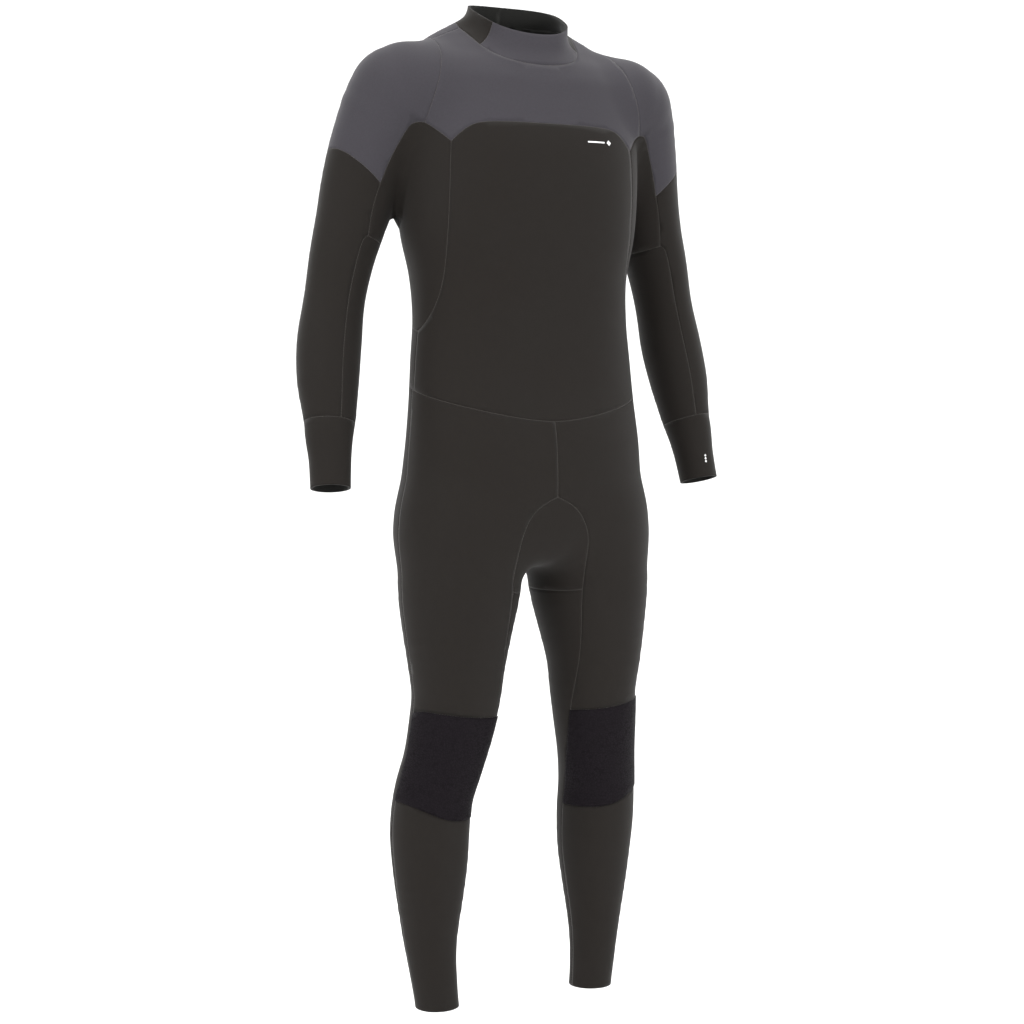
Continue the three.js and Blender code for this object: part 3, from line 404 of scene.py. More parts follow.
def knit_group():
    """Colour, roughness and relief of knitted cloth on foam: courses, dimples with painted shade,
    faint patches.
    """
    name = "Knitted face"
    if name in bpy.data.node_groups:
        return bpy.data.node_groups[name]
    group, given, result = shared_group(
        name,
        [
            ("Base", "NodeSocketColor", (0.05, 0.05, 0.05, 1)),
            ("Patches", "NodeSocketFloat", 0.18),
            ("Courses", "NodeSocketFloat", 1500.0),
            ("Roughness", "NodeSocketFloat", 0.78),
        ],
        [
            ("Color", "NodeSocketColor"),
            ("Roughness", "NodeSocketFloat"),
            ("Height", "NodeSocketFloat"),
        ],
    )
    place = add_node(group, "ShaderNodeTexCoord").outputs["Object"]
    patches = add_node(
        group, "ShaderNodeTexNoise", Vector=place, Scale=9.0, Detail=3.0, Roughness=0.55
    )
    fuzz = add_node(group, "ShaderNodeTexNoise", Vector=place, Scale=420.0, Detail=2.0)
    courses = add_node(group, "ShaderNodeTexVoronoi", Vector=place, Scale=given.outputs["Courses"])
    spread = math_node(group, "SUBTRACT", patches.outputs["Fac"], 0.5)
    spread = math_node(group, "MULTIPLY", spread, given.outputs["Patches"])
    speckle = math_node(group, "SUBTRACT", fuzz.outputs["Fac"], 0.5)
    speckle = math_node(group, "MULTIPLY", speckle, 0.22)
    # Painted shade: darker where the knit's relief sinks, in its dimples.
    dips = math_node(group, "MULTIPLY", courses.outputs["Distance"], -0.18)
    shade = math_node(group, "ADD", math_node(group, "ADD", spread, speckle), dips)
    shade = math_node(group, "ADD", shade, 1.08)
    group.links.new(scaled(group, given.outputs["Base"], shade), result.inputs["Color"])
    uneven = math_node(group, "MULTIPLY", spread, 0.6)
    rough = math_node(group, "ADD", uneven, given.outputs["Roughness"], clamp=True)
    group.links.new(rough, result.inputs["Roughness"])
    sunk = math_node(group, "MULTIPLY", courses.outputs["Distance"], -0.5)
    relief = math_node(group, "ADD", sunk, fuzz.outputs["Fac"])
    group.links.new(relief, result.inputs["Height"])
    return group


def principled(name):
    """A new node material: its tree and its main shader."""
    material = bpy.data.materials.new(name)
    material.use_nodes = True
    tree = material.node_tree
    shader = next(n for n in tree.nodes if n.type == "BSDF_PRINCIPLED")
    return material, tree, shader


def knitted(name, tint, roughness, sheen, relief=0.00012, patches=0.18, seams=True):
    """Knitted cloth, darker where its mesh is marked as lying in a seam: painted shade in the
    seam's groove.
    """
    if name in bpy.data.materials:
        return bpy.data.materials[name]
    material, tree, shader = principled(name)
    knit = tree.nodes.new("ShaderNodeGroup")
    knit.node_tree = knit_group()
    knit.inputs["Base"].default_value = (*tint, 1)
    knit.inputs["Roughness"].default_value = roughness
    knit.inputs["Patches"].default_value = patches
    base = knit.outputs["Color"]
    # Painted shade: the seam mark darkens the colour by up to 35 per cent, as if the seam's groove
    # lay in shade.
    if seams:
        edge = tree.nodes.new("ShaderNodeAttribute")
        edge.attribute_name = "seam"
        darker = math_node(tree, "MULTIPLY", edge.outputs["Fac"], -0.35)
        base = scaled(tree, base, math_node(tree, "ADD", darker, 1.0))
    tree.links.new(base, shader.inputs["Base Color"])
    tree.links.new(knit.outputs["Roughness"], shader.inputs["Roughness"])
    height = knit.outputs["Height"]
    bump = add_node(tree, "ShaderNodeBump", Height=height, Distance=relief, Strength=0.6)
    tree.links.new(bump.outputs["Normal"], shader.inputs["Normal"])
    shader.inputs["Sheen Weight"].default_value = sheen
    shader.inputs["Sheen Roughness"].default_value = 0.45
    shader.inputs["Specular IOR Level"].default_value = 0.2
    return material


def pad_rubber(name, tint):
    """Knee pad: cloth printed with rows of small rubber lozenges."""
    if name in bpy.data.materials:
        return bpy.data.materials[name]
    material, tree, shader = principled(name)
    place = add_node(tree, "ShaderNodeTexCoord").outputs["Object"]
    cells = add_node(tree, "ShaderNodeTexVoronoi", Vector=place, Scale=260.0)
    cells.feature = "DISTANCE_TO_EDGE"
    grain = add_node(tree, "ShaderNodeTexNoise", Vector=place, Scale=700.0, Detail=2.0)
    lozenge = math_node(tree, "MULTIPLY", cells.outputs["Distance"], 6.0, clamp=True)
    shade = math_node(tree, "ADD", math_node(tree, "MULTIPLY", lozenge, 0.45), 0.7)
    tree.links.new(scaled(tree, tint, shade), shader.inputs["Base Color"])
    rough = math_node(tree, "SUBTRACT", 0.82, math_node(tree, "MULTIPLY", lozenge, 0.22))
    tree.links.new(rough, shader.inputs["Roughness"])
    height = math_node(tree, "ADD", lozenge, math_node(tree, "MULTIPLY", grain.outputs["Fac"], 0.3))
    bump = add_node(tree, "ShaderNodeBump", Height=height, Distance=0.0003, Strength=0.7)
    tree.links.new(bump.outputs["Normal"], shader.inputs["Normal"])
    shader.inputs["Specular IOR Level"].default_value = 0.06
    return material


def moulded(name, tint, roughness=0.38):
    """Moulded plastic with fine grain and slightly rubbed patches, at random."""
    if name in bpy.data.materials:
        return bpy.data.materials[name]
    material, tree, shader = principled(name)
    place = add_node(tree, "ShaderNodeTexCoord").outputs["Object"]
    grain = add_node(tree, "ShaderNodeTexNoise", Vector=place, Scale=1800.0, Detail=2.0)
    wear = add_node(tree, "ShaderNodeTexNoise", Vector=place, Scale=120.0, Detail=3.0)
    shade = math_node(tree, "ADD", math_node(tree, "MULTIPLY", wear.outputs["Fac"], 0.5), 0.75)
    tree.links.new(scaled(tree, tint, shade), shader.inputs["Base Color"])
    rubbed = math_node(tree, "MULTIPLY", wear.outputs["Fac"], 0.15)
    rough = math_node(tree, "ADD", rubbed, roughness - 0.07)
    tree.links.new(rough, shader.inputs["Roughness"])
    height = grain.outputs["Fac"]
    bump = add_node(tree, "ShaderNodeBump", Height=height, Distance=0.00004, Strength=0.5)
    tree.links.new(bump.outputs["Normal"], shader.inputs["Normal"])
    return material


def woven(name, tint, rows=900.0):
    """Woven tape, or the loops of a hook-and-loop patch."""
    if name in bpy.data.materials:
        return bpy.data.materials[name]
    material, tree, shader = principled(name)
    place = add_node(tree, "ShaderNodeTexCoord").outputs["Object"]
    warp = add_node(tree, "ShaderNodeTexWave", Vector=place, Scale=rows, Distortion=1.5)
    warp.bands_direction = "Z"
    weft = add_node(tree, "ShaderNodeTexWave", Vector=place, Scale=rows, Distortion=1.5)
    weft.bands_direction = "X"
    weave = math_node(tree, "MULTIPLY", warp.outputs["Fac"], weft.outputs["Fac"])
    shade = math_node(tree, "ADD", math_node(tree, "MULTIPLY", weave, 0.8), 0.6)
    tree.links.new(scaled(tree, tint, shade), shader.inputs["Base Color"])
    shader.inputs["Roughness"].default_value = 0.9
    bump = add_node(tree, "ShaderNodeBump", Height=weave, Distance=0.0002, Strength=0.6)
    tree.links.new(bump.outputs["Normal"], shader.inputs["Normal"])
    return material


def outer_material(node):
    """The finish of a panel's outside, from its material slot."""
    tints = settings().wetsuit_colours
    return {
        "grey_neoprene": lambda: knitted("Grey neoprene", tints.grey, 0.8, 0.06, patches=0.14),
        "black_neoprene": lambda: knitted("Black neoprene", tints.black, 0.82, 0.05),
        "knee_rubber": lambda: pad_rubber("Knee pad rubber", tints.pad),
    }[SLOT_OF[node]]()


# ---- Skin shared by the panels -----------------------------------------------------------------

CLOTH = [n for n, s in SLOT_OF.items() if s in ("grey_neoprene", "black_neoprene", "knee_rubber")]
# Cloth that runs through an elbow or knee without a seam is one piece over several CAD nodes.
RUNS_THROUGH = {
    f"{piece}_{side}": [f"{node}_{side}" for node in nodes]
    for side in ("left", "right")
    for piece, nodes in {
        "sleeve_outer": ("upper_sleeve", "elbow_outer", "forearm_outer"),
        "sleeve_inner": ("elbow_inner", "forearm_inner"),
        "leg_back": ("thigh_back", "knee_back", "calf"),
    }.items()
}
JOINED = {node for nodes in RUNS_THROUGH.values() for node in nodes}
PIECE_NODES = {**RUNS_THROUGH, **{node: [node] for node in CLOTH if node not in JOINED}}
PIECES = sorted(PIECE_NODES)
WELD = 0.00075
FACING_OUT = 0.6  # least cosine between an outer triangle and the body surface
QUAD_ANGLES = {"angle_face_threshold": 0.7, "angle_shape_threshold": 1.2}


def outer_triangles(node):
    """A CAD panel's corners, in millimetres, and its triangles that face outwards."""
    mesh = NODES[node].data
    mesh.calc_loop_triangles()
    p = to_millimetres(np.array([v.co for v in mesh.vertices], float).reshape(-1, 3))
    corners = np.array([t.vertices[:] for t in mesh.loop_triangles])
    a, b, c = (p[corners[:, k]] for k in range(3))
    normal = np.cross(b - a, c - a)
    normal /= np.maximum(np.linalg.norm(normal, axis=1), 1e-9)[:, None]
    slope = body_slope((a + b + c) / 3)[1]
    facing = (normal * slope).sum(1) / np.linalg.norm(slope, axis=1)
    return p, corners[facing > FACING_OUT]


def joined_skin(cloth):
    """All the panels' outsides as one welded, divided mesh, whose material index is the piece."""
    bm = bmesh.new()
    for index, piece in enumerate(PIECES):
        for node in PIECE_NODES[piece]:
            p, triangles = outer_triangles(node)
            used = sorted(set(triangles.ravel()))
            surface = to_metres(onto_body(p[used], 2))
            verts = dict(zip(used, (bm.verts.new(c) for c in surface)))
            for t in triangles:
                bm.faces.new([verts[v] for v in t]).material_index = index
    bmesh.ops.remove_doubles(bm, verts=bm.verts[:], dist=WELD)
    bmesh.ops.recalc_face_normals(bm, faces=bm.faces[:])
    bmesh.ops.join_triangles(bm, faces=bm.faces[:], cmp_materials=True, **QUAD_ANGLES)
    bmesh.ops.subdivide_edges(bm, edges=bm.edges[:], cuts=cloth.cuts, use_grid_fill=True)
    return bm


def smoothed(co, edges, curve_edges, rounds):
    """Evens out the vertices: those of seams and hems along the line, and junctions not at all."""
    count = np.bincount(curve_edges.ravel(), minlength=len(co))
    on_curve = count > 0
    free = edges[~on_curve[edges].any(1)]
    mixed = edges[on_curve[edges].any(1)]
    for _ in range(rounds):
        total = np.zeros_like(co)
        weight = np.zeros(len(co))
        for pairs in (free, mixed):
            for a, b in ((0, 1), (1, 0)):
                np.add.at(total, pairs[:, a], co[pairs[:, b]])
                np.add.at(weight, pairs[:, a], 1)
        total[on_curve] = 0
        weight[on_curve] = 0
        for a, b in ((0, 1), (1, 0)):
            np.add.at(total, curve_edges[:, a], co[curve_edges[:, b]])
            np.add.at(weight, curve_edges[:, a], 1)
        middle = total / np.maximum(weight, 1)[:, None]
        share = np.where((count == 0) | (count == 2), 0.5, 0)[:, None]
        co = co + share * (middle - co)
    return co


@functools.cache
def build_skin():
    """Makes the skin once: its vertices, normals, faces, panels and seam lines."""
    cloth = settings().wetsuit_cloth
    bm = joined_skin(cloth)
    bm.verts.index_update()
    co = to_millimetres([v.co for v in bm.verts])
    edges = np.array([[v.index for v in e.verts] for e in bm.edges])
    beside = [sorted({f.material_index for f in e.link_faces}) for e in bm.edges]
    curve = np.array([len(p) != 1 or len(e.link_faces) != 2 for e, p in zip(bm.edges, beside)])
    for rounds in (cloth.evening // 2, cloth.evening - cloth.evening // 2):
        co = smoothed(co, edges, edges[curve], rounds)
        co = onto_body(co)
    slope = body_slope(co)[1]
    normals = slope / np.linalg.norm(slope, axis=1)[:, None]
    faces = [[v.index for v in f.verts] for f in bm.faces]
    panel = [f.material_index for f in bm.faces]
    seams = [([v.index for v in e.verts], p) for e, p in zip(bm.edges, beside) if len(p) == 2]
    bm.free()
    return {
        "co": to_metres(co),
        "normals": normals,
        "faces": faces,
        "panel": panel,
        "seams": seams,
    }


# ---- Stitches ----------------------------------------------------------------------------------

STITCH_SIDES = 5
STITCH_PROFILE = ((-0.5, 0.2), (-0.36, 0.85), (0, 1), (0.36, 0.85), (0.5, 0.2))
STITCH_SINK = 0.45  # of the seam's depth


def chains(pairs):
    """Joins edges into runs of vertices that end at junctions."""
    around = {}
    for a, b in pairs:
        around.setdefault(a, []).append(b)
        around.setdefault(b, []).append(a)
    unused = {frozenset(p) for p in pairs}
    starts = [v for v in sorted(around) if len(around[v]) != 2] + sorted(around)
    runs = []
    for start in starts:
        for second in sorted(around[start]):
            if frozenset((start, second)) not in unused:
                continue
            run = [start, second]
            unused.discard(frozenset((start, second)))
            while len(around[run[-1]]) == 2:
                following = [v for v in around[run[-1]] if frozenset((run[-1], v)) in unused]
                if not following:
                    break
                unused.discard(frozenset((run[-1], following[0])))
                run.append(following[0])
            runs.append(run)
    return runs


def stitch_lines(piece):
    """Places, directions and normals of the stitches of the seams that this piece carries."""
    skin = build_skin()
    stitch = settings().wetsuit_stitch
    mine = PIECES.index(piece)
    by_neighbour = {}
    for pair, between in skin["seams"]:
        if between[0] == mine:
            by_neighbour.setdefault(between[1], []).append(pair)
    places = []
    for pairs in by_neighbour.values():
        for run in chains(pairs):
            line = skin["co"][run]
            normal = skin["normals"][run]
            steps = np.linalg.norm(np.diff(line, axis=0), axis=1)
            along = np.concatenate([[0], np.cumsum(steps)])
            count = max(int(along[-1] / stitch.pitch), 1)
            for at in (np.arange(count) + 0.5) * along[-1] / count:
                i = min(int(np.searchsorted(along, at, side="right")) - 1, len(steps) - 1)
                t = (at - along[i]) / max(steps[i], 1e-9)
                middle = line[i] + t * (line[i + 1] - line[i])
                outwards = normal[i] + t * (normal[i + 1] - normal[i])
                places.append((middle, line[i + 1] - line[i], outwards))
    return places


def stitch_mesh(places):
    """Vertices and faces of the threads: a tapered bead for each stitch, slantwise in the seam."""
    stitch = settings().wetsuit_stitch
    cloth = settings().wetsuit_cloth
    verts = []
    faces = []
    for middle, direction, outwards in places:
        up = outwards / np.linalg.norm(outwards)
        along = direction / np.linalg.norm(direction)
        aside = np.cross(up, along)
        along = along * math.cos(stitch.slant) + aside * math.sin(stitch.slant)
        aside = np.cross(up, along)
        base = middle - up * (cloth.seam_depth * STITCH_SINK)
        first = len(verts)
        for place, width in STITCH_PROFILE:
            for k in range(STITCH_SIDES):
                turn = 2 * math.pi * k / STITCH_SIDES
                ring = aside * math.cos(turn) + up * math.sin(turn)
                reach = ring * stitch.radius * width
                verts.append(base + along * place * stitch.length + reach)
        rings = len(STITCH_PROFILE)
        for r in range(rings - 1):
            for k in range(STITCH_SIDES):
                a = first + r * STITCH_SIDES + k
                b = first + r * STITCH_SIDES + (k + 1) % STITCH_SIDES
                faces.append((a, b, b + STITCH_SIDES, a + STITCH_SIDES))
        faces.append(tuple(first + k for k in reversed(range(STITCH_SIDES))))
        faces.append(tuple(first + (rings - 1) * STITCH_SIDES + k for k in range(STITCH_SIDES)))
    return verts, faces


# ---- Panels ------------------------------------------------------------------------------------

FACE, LINING, EDGE, THREAD = range(4)


def panel_outside(piece):
    """The piece's faces of the skin, with a narrow band let in along its edges."""
    skin = build_skin()
    mine = PIECES.index(piece)
    bm = bmesh.new()
    verts = {}
    normal = bm.verts.layers.float_vector.new("outwards")
    for loop, panel in zip(skin["faces"], skin["panel"]):
        if panel != mine:
            continue
        for v in loop:
            if v not in verts:
                verts[v] = bm.verts.new(skin["co"][v])
                verts[v][normal] = skin["normals"][v]
        bm.faces.new([verts[v] for v in loop])
    cloth = settings().wetsuit_cloth
    bmesh.ops.inset_region(
        bm,
        faces=bm.faces[:],
        thickness=cloth.seam_width,
        depth=0,
        use_boundary=True,
        use_even_offset=True,
    )
    bm.normal_update()
    return bm


def edge_pulls(edge_verts, gap):
    """How far each vertex of a panel's edge moves inwards, which leaves a gap at the seam."""
    pulls = {}
    for v in edge_verts:
        inwards = Vector((0, 0, 0))
        for e in v.link_edges:
            if e.is_boundary:
                face = e.link_faces[0]
                middle = (e.verts[0].co + e.verts[1].co) / 2
                inwards += (face.calc_center_median() - middle).normalized()
        pulls[v] = inwards.normalized() * gap
    return pulls


def build_panel(piece):
    """One piece of neoprene: knitted face, foam edge and lining, with the stitches of its seams."""
    cloth = settings().wetsuit_cloth
    tints = settings().wetsuit_colours
    node = PIECE_NODES[piece][0]
    bm = panel_outside(piece)
    rise = cloth.pad_rise if SLOT_OF[node] == "knee_rubber" else 0
    # The panel's edge vertices are marked here for the outer material's painted seam shade.
    seam = bm.verts.layers.float.new("seam")
    edge_verts = {v for e in bm.edges if e.is_boundary for v in e.verts}
    layer = bm.verts.layers.float_vector["outwards"]
    for v in bm.verts:
        v[seam] = 1 if v in edge_verts else 0
    pulls = edge_pulls(edge_verts, cloth.seam_gap)
    outer = []
    inner = []
    for v in bm.verts:
        outwards = Vector(v[layer])
        outwards = outwards.normalized() if outwards.length > 0.1 else v.normal.copy()
        place = v.co + outwards * rise
        deep = v.co - outwards * cloth.thickness
        if v in edge_verts:
            place += pulls[v] - outwards * (cloth.seam_depth + rise)
            deep += pulls[v]
        outer.append(place)
        inner.append(deep)
    bm.verts.index_update()
    count = len(outer)
    faces = [[v.index for v in f.verts] for f in bm.faces]
    reverse = [[v + count for v in reversed(f)] for f in faces]
    rims = []
    for e in bm.edges:
        if e.is_boundary:
            loop = e.link_loops[0]
            a, b = loop.vert.index, loop.link_loop_next.vert.index
            rims.append([b, a, a + count, b + count])
    marks = [v[seam] for v in bm.verts]
    bm.free()
    threads, thread_faces = stitch_mesh(stitch_lines(piece))
    shift = 2 * count
    all_faces = faces + reverse + rims + [tuple(v + shift for v in f) for f in thread_faces]
    materials = [FACE] * len(faces) + [LINING] * len(reverse)
    materials += [EDGE] * len(rims) + [THREAD] * len(thread_faces)
    mesh = bpy.data.meshes.new(piece)
    mesh.from_pydata(outer + inner + [Vector(t) for t in threads], [], all_faces)
    mesh.polygons.foreach_set("material_index", materials)
    mesh.polygons.foreach_set("use_smooth", [m != EDGE for m in materials])
    # The seam mark, which the knitted outer materials turn into painted shade along the seam.
    attribute = mesh.attributes.new("seam", "FLOAT", "POINT")
    attribute.data.foreach_set("value", marks + [0.0] * (count + len(threads)))
    for material in (
        outer_material(node),
        knitted("Lining", tints.lining, 0.9, 0.1, patches=0.1, seams=False),
        knitted("Foam edge", tints.foam, 0.85, 0.0, relief=0.0002, seams=False),
        knitted("Thread", tints.thread, 0.7, 0.3, relief=0.00005, seams=False),
    ):
        mesh.materials.append(material)
    mesh.validate()
    return place_piece(mesh, "cloth_" + piece, PIECE_NODES[piece])


def place_piece(mesh, name, nodes):
    """Puts a piece in the scene for its CAD nodes, on their body or across their joint."""
    obj = bpy.data.objects.new(name, mesh)
    bpy.context.scene.collection.objects.link(obj)
    on_body(obj, nodes)
    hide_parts(*nodes)
    return obj


BENDS = {"knee": ("lower_leg_", "knee_back_"), "elbow": ("forearm_", "elbow_inner_")}


def on_body(obj, nodes):
    """Bakes the transform of a piece that runs through a knee or elbow, and sets any other on its
    one body.
    """
    for kind, (limb, region) in BENDS.items():
        bending = [n for n in nodes if n.startswith(kind)]
        if bending:
            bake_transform(obj)
            return
    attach(obj, BODY_OF[nodes[0]])


def build_pieces(*starts):
    """Builds the panels whose names start in one of these ways."""
    for piece in PIECES:
        if piece.startswith(starts):
            build_panel(piece)
    return {"FINISHED"}


class WETSUIT_OT_trunk(bpy.types.Operator):
    """Build the body of the suit: yokes, front, back, underarm panels and crotch gusset"""

    bl_idname = "wetsuit.trunk"
    bl_label = "Trunk panels"

    def execute(self, context):
        return build_pieces("chest_yoke", "back_", "front_body", "underarm", "crotch")


class WETSUIT_OT_collar(bpy.types.Operator):
    """Build the stand-up collar"""

    bl_idname = "wetsuit.collar"
    bl_label = "Collar"

    def execute(self, context):
        return build_pieces("collar")


class WETSUIT_OT_sleeves(bpy.types.Operator):
    """Build the sleeves"""

    bl_idname = "wetsuit.sleeves"
    bl_label = "Sleeves"

    def execute(self, context):
        return build_pieces("shoulder", "sleeve", "cuff")


class WETSUIT_OT_legs(bpy.types.Operator):
    """Build the legs and their knee pads"""

    bl_idname = "wetsuit.legs"
    bl_label = "Legs"

    def execute(self, context):
        return build_pieces("thigh", "knee", "shin", "leg_back")


# ---- Zip, collar closure and marks -------------------------------------------------------------

# In millimetres: the depth of the teeth below the skin, and how far they reach from the middle.
TOOTH = {"root": 4.3, "neck": 1.6, "bead": 0.4, "depth": 2.9, "thickness": 2.2}
TAPE_CORD = {"across": 3.4, "half_width": 0.85, "half_depth": 1.25, "sides": 8, "steps": 60}
CAD_WELD = 0.00002
FLAT_ANGLE = 0.02
ROUNDED_ANGLE = 0.6
SMOOTH_ANGLE = math.radians(40)


def on_arc(across, angle, depth):
    """A place by the zip, in metres: across to the left, angle up the arc, depth below the skin."""
    r = ZIP_ARC["radius"] - depth
    height = ZIP_ARC["z"] + r * math.sin(angle) - NECK_HEIGHT
    return Vector((across, ZIP_ARC["y"] + r * math.cos(angle), height)) * MM


def rounded(bm, width, segments):
    """Bevels the sharp edges."""
    closed = [e for e in bm.edges if len(e.link_faces) == 2]
    bmesh.ops.bevel(
        bm,
        geom=[e for e in closed if e.calc_face_angle(0) > ROUNDED_ANGLE],
        offset=width,
        segments=segments,
        affect="EDGES",
        profile=0.5,
        material=-1,
        clamp_overlap=True,
    )


def cad_copy(node, material, bevel=0.0, segments=2):
    """A copy of a CAD node, merged first, with its edges rounded."""
    bm = bmesh.new()
    bm.from_mesh(NODES[node].data)
    bmesh.ops.remove_doubles(bm, verts=bm.verts[:], dist=CAD_WELD)
    bmesh.ops.dissolve_limit(
        bm, angle_limit=FLAT_ANGLE, verts=bm.verts[:], edges=bm.edges[:]
    )
    if bevel:
        rounded(bm, bevel, segments)
    bmesh.ops.recalc_face_normals(bm, faces=bm.faces[:])
    mesh = bpy.data.meshes.new(node)
    bm.to_mesh(mesh)
    bm.free()
    mesh.polygons.foreach_set("use_smooth", [True] * len(mesh.polygons))
    mesh.materials.append(material)
    mesh.set_sharp_from_angle(angle=SMOOTH_ANGLE)
    return place_piece(mesh, "made_" + node, [node])


def join_rings(bm, rings):
    """A closed tube through rings of vertices."""
    sides = len(rings[0])
    for one, two in zip(rings, rings[1:]):
        for k in range(sides):
            bm.faces.new((one[k], one[(k + 1) % sides], two[(k + 1) % sides], two[k]))
    bm.faces.new(rings[0][::-1])
    bm.faces.new(rings[-1])


def add_tooth(bm, sign, middle, pitch, reach):
    """One tooth with its locking bead, as sections from its root to its tip."""
    near, far = TOOTH["depth"], TOOTH["depth"] + TOOTH["thickness"]
    rings = []
    # How far across, half the width in pitches, and how much thinner on both faces.
    for across, half, inset in (
        (TOOTH["root"], 0.20, 0.15),
        (TOOTH["neck"], 0.19, 0.1),
        (TOOTH["bead"], 0.15, 0.2),
        (-reach * 0.45, 0.23, 0.25),
        (-reach, 0.17, 0.5),
    ):
        a0, a1 = middle - half * pitch, middle + half * pitch
        d0, d1 = near + inset, far - inset
        ring = [(a0, d0), (a1, d0), (a1, d1), (a0, d1)]
        rings.append([bm.verts.new(on_arc(sign * across, a, d)) for a, d in ring])
    join_rings(bm, rings)


def add_tape_cord(bm, sign, bottom, top):
    """The cord that one side's teeth are set on."""
    sides, steps = TAPE_CORD["sides"], TAPE_CORD["steps"]
    depth = TOOTH["depth"] + TOOTH["thickness"] / 2
    rings = []
    for i in range(steps + 1):
        angle = bottom + (top - bottom) * i / steps
        ring = []
        for k in range(sides):
            turn = 2 * math.pi * k / sides
            across = sign * (TAPE_CORD["across"] + TAPE_CORD["half_width"] * math.cos(turn))
            below = depth + TAPE_CORD["half_depth"] * math.sin(turn)
            ring.append(bm.verts.new(on_arc(across, angle, below)))
        rings.append(ring)
    join_rings(bm, rings)


def tooth_row(sign):
    """One side's moulded teeth and their cord. The right side's are half a pitch higher."""
    zipper = settings().wetsuit_zip
    radius = ZIP_ARC["radius"] - TOOTH["depth"]
    heights = [corner.z / MM + NECK_HEIGHT - ZIP_ARC["z"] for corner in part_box("zip_teeth_left")]
    bottom, top = (math.asin(height / radius) for height in heights)
    pitch = zipper.pitch / MM / ZIP_ARC["radius"]
    shift = 0.5 if sign > 0 else 1.0
    bm = bmesh.new()
    for i in range(int((top - bottom) / pitch) - 1):
        add_tooth(bm, sign, bottom + (i + shift) * pitch, pitch, zipper.reach / MM)
    add_tape_cord(bm, sign, bottom, top)
    bmesh.ops.recalc_face_normals(bm, faces=bm.faces[:])
    return bm


class WETSUIT_OT_zip(bpy.types.Operator):
    """Build the back zip: tapes, teeth, stops, slider and puller"""

    bl_idname = "wetsuit.zip"
    bl_label = "Zip"

    def execute(self, context):
        tints = settings().wetsuit_colours
        tape = woven("Zip tape", tints.tape)
        plastic = moulded("Zip plastic", tints.plastic)
        for side, sign in (("left", 1), ("right", -1)):
            cad_copy("zip_tape_" + side, tape)
            bm = tooth_row(sign)
            mesh = bpy.data.meshes.new("zip_teeth_" + side)
            bm.to_mesh(mesh)
            bm.free()
            mesh.materials.append(plastic)
            place_piece(mesh, "made_zip_teeth_" + side, ["zip_teeth_" + side])
            cad_copy("zip_top_stop_" + side, plastic, 0.0004)
        cad_copy("zip_bottom_stop", plastic, 0.0005)
        cad_copy("zip_slider", plastic, 0.0003)
        cad_copy("zip_puller", plastic, 0.0004)
        return {"FINISHED"}


class WETSUIT_OT_closure(bpy.types.Operator):
    """Build the collar's hook tab and the loop pad that it can close on"""

    bl_idname = "wetsuit.closure"
    bl_label = "Collar closure"

    def execute(self, context):
        tints = settings().wetsuit_colours
        cad_copy("collar_tab", woven("Hook tab", tints.tape, 700.0), 0.0008, 3)
        cad_copy("collar_loop_pad", woven("Loop pad", tints.tape, 1100.0), 0.0003)
        return {"FINISHED"}


MARK_LIFT = 0.25  # above the skin, in millimetres
# The node that each mark is on, its middle in millimetres, and the way that it faces.
MARKS = {
    "chest_mark": ("front_body", (82, -118, 1243), (0.3, -1, 0)),
    "cuff_mark": ("cuff_left", (300, -45, 783), (0.35, -1, 0)),
}


def printed_patch(name, outlines):
    """Flat marks laid on the skin. Outlines are in millimetres round the middle, from outside."""
    node, middle, facing = MARKS[name]
    middle, facing = Vector(middle), Vector(facing)
    bm = bmesh.new()
    right = Vector((facing.y, -facing.x, 0)).normalized() * -1
    up = Vector((0, 0, 1))
    for outline in outlines:
        points = [middle + right * x + up * z for x, z in outline]
        surface = onto_body(np.array([tuple(p) for p in points]), 4)
        _, slope = body_slope(surface)
        lifted = surface + slope / np.linalg.norm(slope, axis=1)[:, None] * MARK_LIFT
        half = len(outline) // 2
        verts = [bm.verts.new(p) for p in to_metres(lifted)]
        for i in range(half - 1):
            bm.faces.new((verts[i], verts[i + 1], verts[-2 - i], verts[-1 - i]))
    bm.normal_update()
    if sum((f.normal for f in bm.faces), Vector()).dot(facing) < 0:
        bmesh.ops.reverse_faces(bm, faces=bm.faces[:])
    mesh = bpy.data.meshes.new(name)
    bm.to_mesh(mesh)
    bm.free()
    ink = settings().wetsuit_colours.print
    mesh.materials.append(knitted("Print", ink, 0.5, 0.0, seams=False))
    obj = bpy.data.objects.new(name, mesh)
    bpy.context.scene.collection.objects.link(obj)
    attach(obj, BODY_OF[node])


def bar(x0, x1, z0, z1, steps):
    """A bar's outline: its top from left to right, and then its bottom back."""
    top = [(x0 + (x1 - x0) * i / steps, z1) for i in range(steps + 1)]
    return top + [(x, z0) for x, _ in reversed(top)]


def lozenge(x, z, half):
    """A lozenge's outline, in the same order, with its points a little blunt."""
    blunt = 0.1
    shape = (-half, blunt), (-half / 2, half / 2), (0, half), (half / 2, half / 2), (half, blunt)
    top = [(x + across, up) for across, up in shape]
    return [(u, z + w) for u, w in top] + [(u, z - w) for u, w in reversed(top)]


class WETSUIT_OT_marks(bpy.types.Operator):
    """Lay plain generic marks on the chest and the left cuff"""

    bl_idname = "wetsuit.marks"
    bl_label = "Marks"

    def execute(self, context):
        printed_patch("chest_mark", [bar(-24, 9, -1.2, 1.2, 8), lozenge(18, 0, 4.5)])
        printed_patch("cuff_mark", [lozenge(0, up, 2.2) for up in (-4.5, 0, 4.5)])
        return {"FINISHED"}


# ---- Stage -------------------------------------------------------------------------------------


# In metres: how far the floor comes forward, and the shape of the backdrop behind the suit.
SWEEP = {"front": 7.0, "depth": 4.0, "half_width": 8.0, "radius": 1.6, "height": 6.0, "steps": 16}
AIM_HEIGHT = 0.9  # of the lights, above the floor
